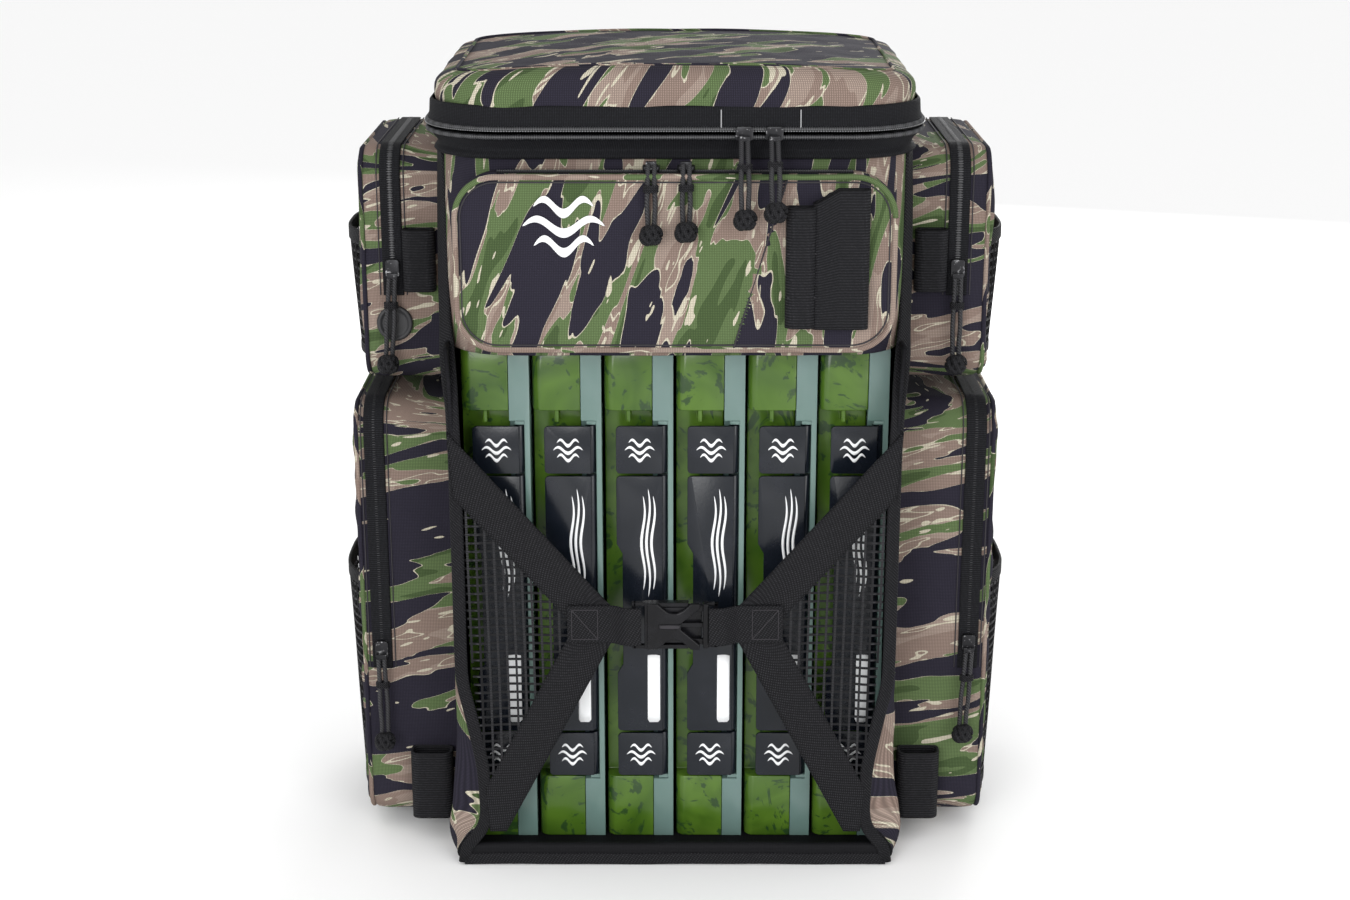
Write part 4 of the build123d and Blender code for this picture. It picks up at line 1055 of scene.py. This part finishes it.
for index in range(6):
    number, x0 = index + 1, (index - 3) * TRAY_PITCH + 0.8
    softened(f"tray_base_{number}", f"tray_shell_{number}", f"tray_{number}", "tray_green", tray_green, 0.8)
    softened(f"tray_lid_{number}", f"tray_cover_{number}", f"tray_{number}", "tray_clear", tray_clear, 0.6)
    softened(f"tray_latch_{number}", f"tray_grip_{number}", f"tray_latch_{number}", "latch_black", latch_mat, 0.6)
    marks = []
    for level, z in (("top", 294.5), ("foot", 72.0)):
        marks += [ripple(f"mark_{level}_{number}_{k}", (x0 + 23.5, z + 5.2 * k), wide, 4.2, -112.2, 1.25,
                         print_white) for k, wide in ((-1, 15.0), (0, 20.0), (1, 15.0))]
    marks += [ripple(f"mark_long_{number}_{k}", (x0 + 29.0 + 3.4 * k, 228.5), 78.0 - 10 * abs(k), 2.4, -112.2, 0.9,
                     print_white, True) for k in (-1, 0, 1)]
    a, b, h, uv = pillow(rounded(4.3, 25.2, 0.6, 40), [(0, 0), (0, 0.3)], 0.0, 4, 1)
    label = stacked(x0 + 32.6 + a, -111.9 - h, 121.8 + b)
    marks.append(surface(f"label_{number}", label, print_white, uv=uv, closed=True))
    fitted(join(f"tray_marks_{number}", *marks), f"tray_latch_{number}", "latch_black")


# ---- The zip sliders ----
# Die-cast sliders in black paint, worn to bright metal on their edges.
slider_mat, slider_tree, slider_shader = finish("slider_metal", (0.02, 0.02, 0.022), 0.34, Metallic=0.6)
slider_wear = noise(slider_tree, "Object", 420.0, Detail=3.0)
tinted(slider_tree, slider_shader, slider_wear, (0.012, 0.012, 0.014), (0.35, 0.35, 0.36), 0.6, 0.75)
for name in PULLS:
    softened(f"slider_{name}", f"zip_slider_{name}", f"slider_{name}", "slider_metal", slider_mat, 0.5)


# ---- The carrying side ----
# A padded black back with three ventilated pads on it, two curved shoulder straps with their webs, adjusters
# and sternum strap, and a webbing haul handle.
spacer = threads("spacer_mesh", (0.004, 0.004, 0.005), (0.030, 0.030, 0.034), 2.8, 1.0, 0.85, 45.0)
a, b, h, uv = pillow(rounded(HALF - 0.2, 251.5, 8.0, 260), [(1.5, 0.0), (0, 1.5), (0, 6.0), (1.2, 8.0)], 0.4, 20)
grid = stacked(a, 112.2 + h + creases(a, b, 0.3, 61) * (h > 7), b + 259.0)
sewn("boot_cloth", "back_panel", grid, black_cloth, "back_wall", uv=uv)
sheet_mat = moulded("sheet_plastic", (0.02, 0.02, 0.022), (0.03, 0.03, 0.033), 0.5)
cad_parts["frame_sheet"].data.materials.clear()
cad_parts["frame_sheet"].data.materials.append(sheet_mat)
for side, word in SIDES:
    line = stacked(side * 149.6, 118.4, np.linspace(6, 508, 120))
    sewn("webbing", f"back_binding_{word}", tube(line, 2.6, 10), webbing)
for number, (z0, z1) in enumerate(((60, 170), (190, 300), (320, 430)), 1):
    a, b, h, uv = pillow(rounded(118.0, (z1 - z0) / 2, 14.0, 200), [(1.6, 0.2), (0.2, 3), (0.6, 7), (3.0, 10.2),
                                                                    (7.0, 12.0)], 3.0, 26)
    channel = 2.6 * np.exp(-(b / 3.0) ** 2)
    channel = channel + 2.0 * (np.exp(-((a - 40) / 3.0) ** 2) + np.exp(-((a + 40) / 3.0) ** 2))
    h = h - channel * (h > 11.5)
    grid = stacked(a, 119.6 + h, b + (z0 + z1) / 2)
    pad = sewn("spacer_mesh", f"back_pad_{number}", grid, spacer, *(["back_pads"] if number == 1 else []), uv=uv)
STRAP_X = 73.5
STRAP = ((124, 458), (136, 466), (146, 464), (153, 455), (155.6, 440), (154.5, 400), (152.5, 340), (150.5, 280),
         (147.5, 225), (146.2, 207))
for side, word in SIDES:
    straps, webs = (["shoulder_straps"], ["strap_webbing"]) if side < 0 else ([], [])
    middle = smooth_line(STRAP, 90, 9)
    share = np.linspace(0, 1, 90)
    sideways = 73.0 + 2.0 * np.sin(pi * share)
    line = np.column_stack([side * sideways, middle])
    half_wide = 29.5 - 5.0 * share ** 2
    out = unit(np.cross((1.0, 0, 0), unit(np.gradient(line, axis=0))))
    section = rounded(1.0, 0.95, 0.6, 60)
    thick = 6.0 * np.interp(share, (0, 0.06, 0.12, 0.9, 1), (0.45, 0.8, 1, 1, 0.7))
    section[:, 1] *= 0.75 + 0.25 * (1 - section[:, 0] ** 2)
    grid = carried(line, stacked(half_wide, 0, 0), section, out * thick[:, None])
    strap = sewn("spacer_mesh", f"shoulder_strap_{word}", grid, spacer, *straps)
    over = smooth_line([(y + 6.6 * (z < 462), z + 1.0) for y, z in STRAP[3:]] + [(152.0, 196)], 70, 7)
    line = stacked(side * STRAP_X, over[:, 0] + 0.4, over[:, 1])
    strip = rounded(12.5, 0.9, 0.8, 30)
    sewn("webbing", f"strap_web_{word}", carried(line, (1, 0, 0), strip), webbing)
    low = smooth_line([(143.6, 204.5), (140.4, 130), (136.6, 58), (121.0, 28.5)], 90, 7)
    line = stacked(side * STRAP_X, *low.T)
    sewn("webbing", f"adjusting_web_{word}", carried(line, (1, 0, 0), strip), webbing, *webs)
    line = stacked(side * np.linspace(11.0, 46.0, 30), 148.0, 360.0)
    sewn("webbing", f"sternum_web_{word}", carried(line, (0, 0, 1), rounded(10.0, 0.9, 0.8, 30)), webbing)
softened("strap_hardware", "strap_adjusters", "bag", "buckle_plastic", buckle_mat, 0.9)
grip = stacked(np.linspace(-31, 31, 70), 129.6, 446.0)
fat = 6.6 * np.interp(np.abs(grip[:, 0]), (0, 22, 29, 31), (1.0, 0.97, 0.85, 0.6))
handle = sewn("webbing", "haul_grip", tube(grip, fat, 24), spacer, "haul_handle", body="haul_handle")
loop = [(-31, 125.6, 488), (-31, 128.8, 470), (-31.2, 130.4, 452), (-27, 130.4, 441.5), (0, 130.2, 439.4),
        (27, 130.4, 441.5), (31.2, 130.4, 452), (31, 128.8, 470), (31, 125.6, 488)]
line = smooth_line(loop, 140, 9)
square = unit(np.cross(np.gradient(line, axis=0), (0, 1, 0)))
web_line = carried(line, (0, 1, 0), rounded(0.9, 6.0, 0.8, 30), out=square)
sewn("webbing", "haul_web", web_line, webbing, body="haul_handle")
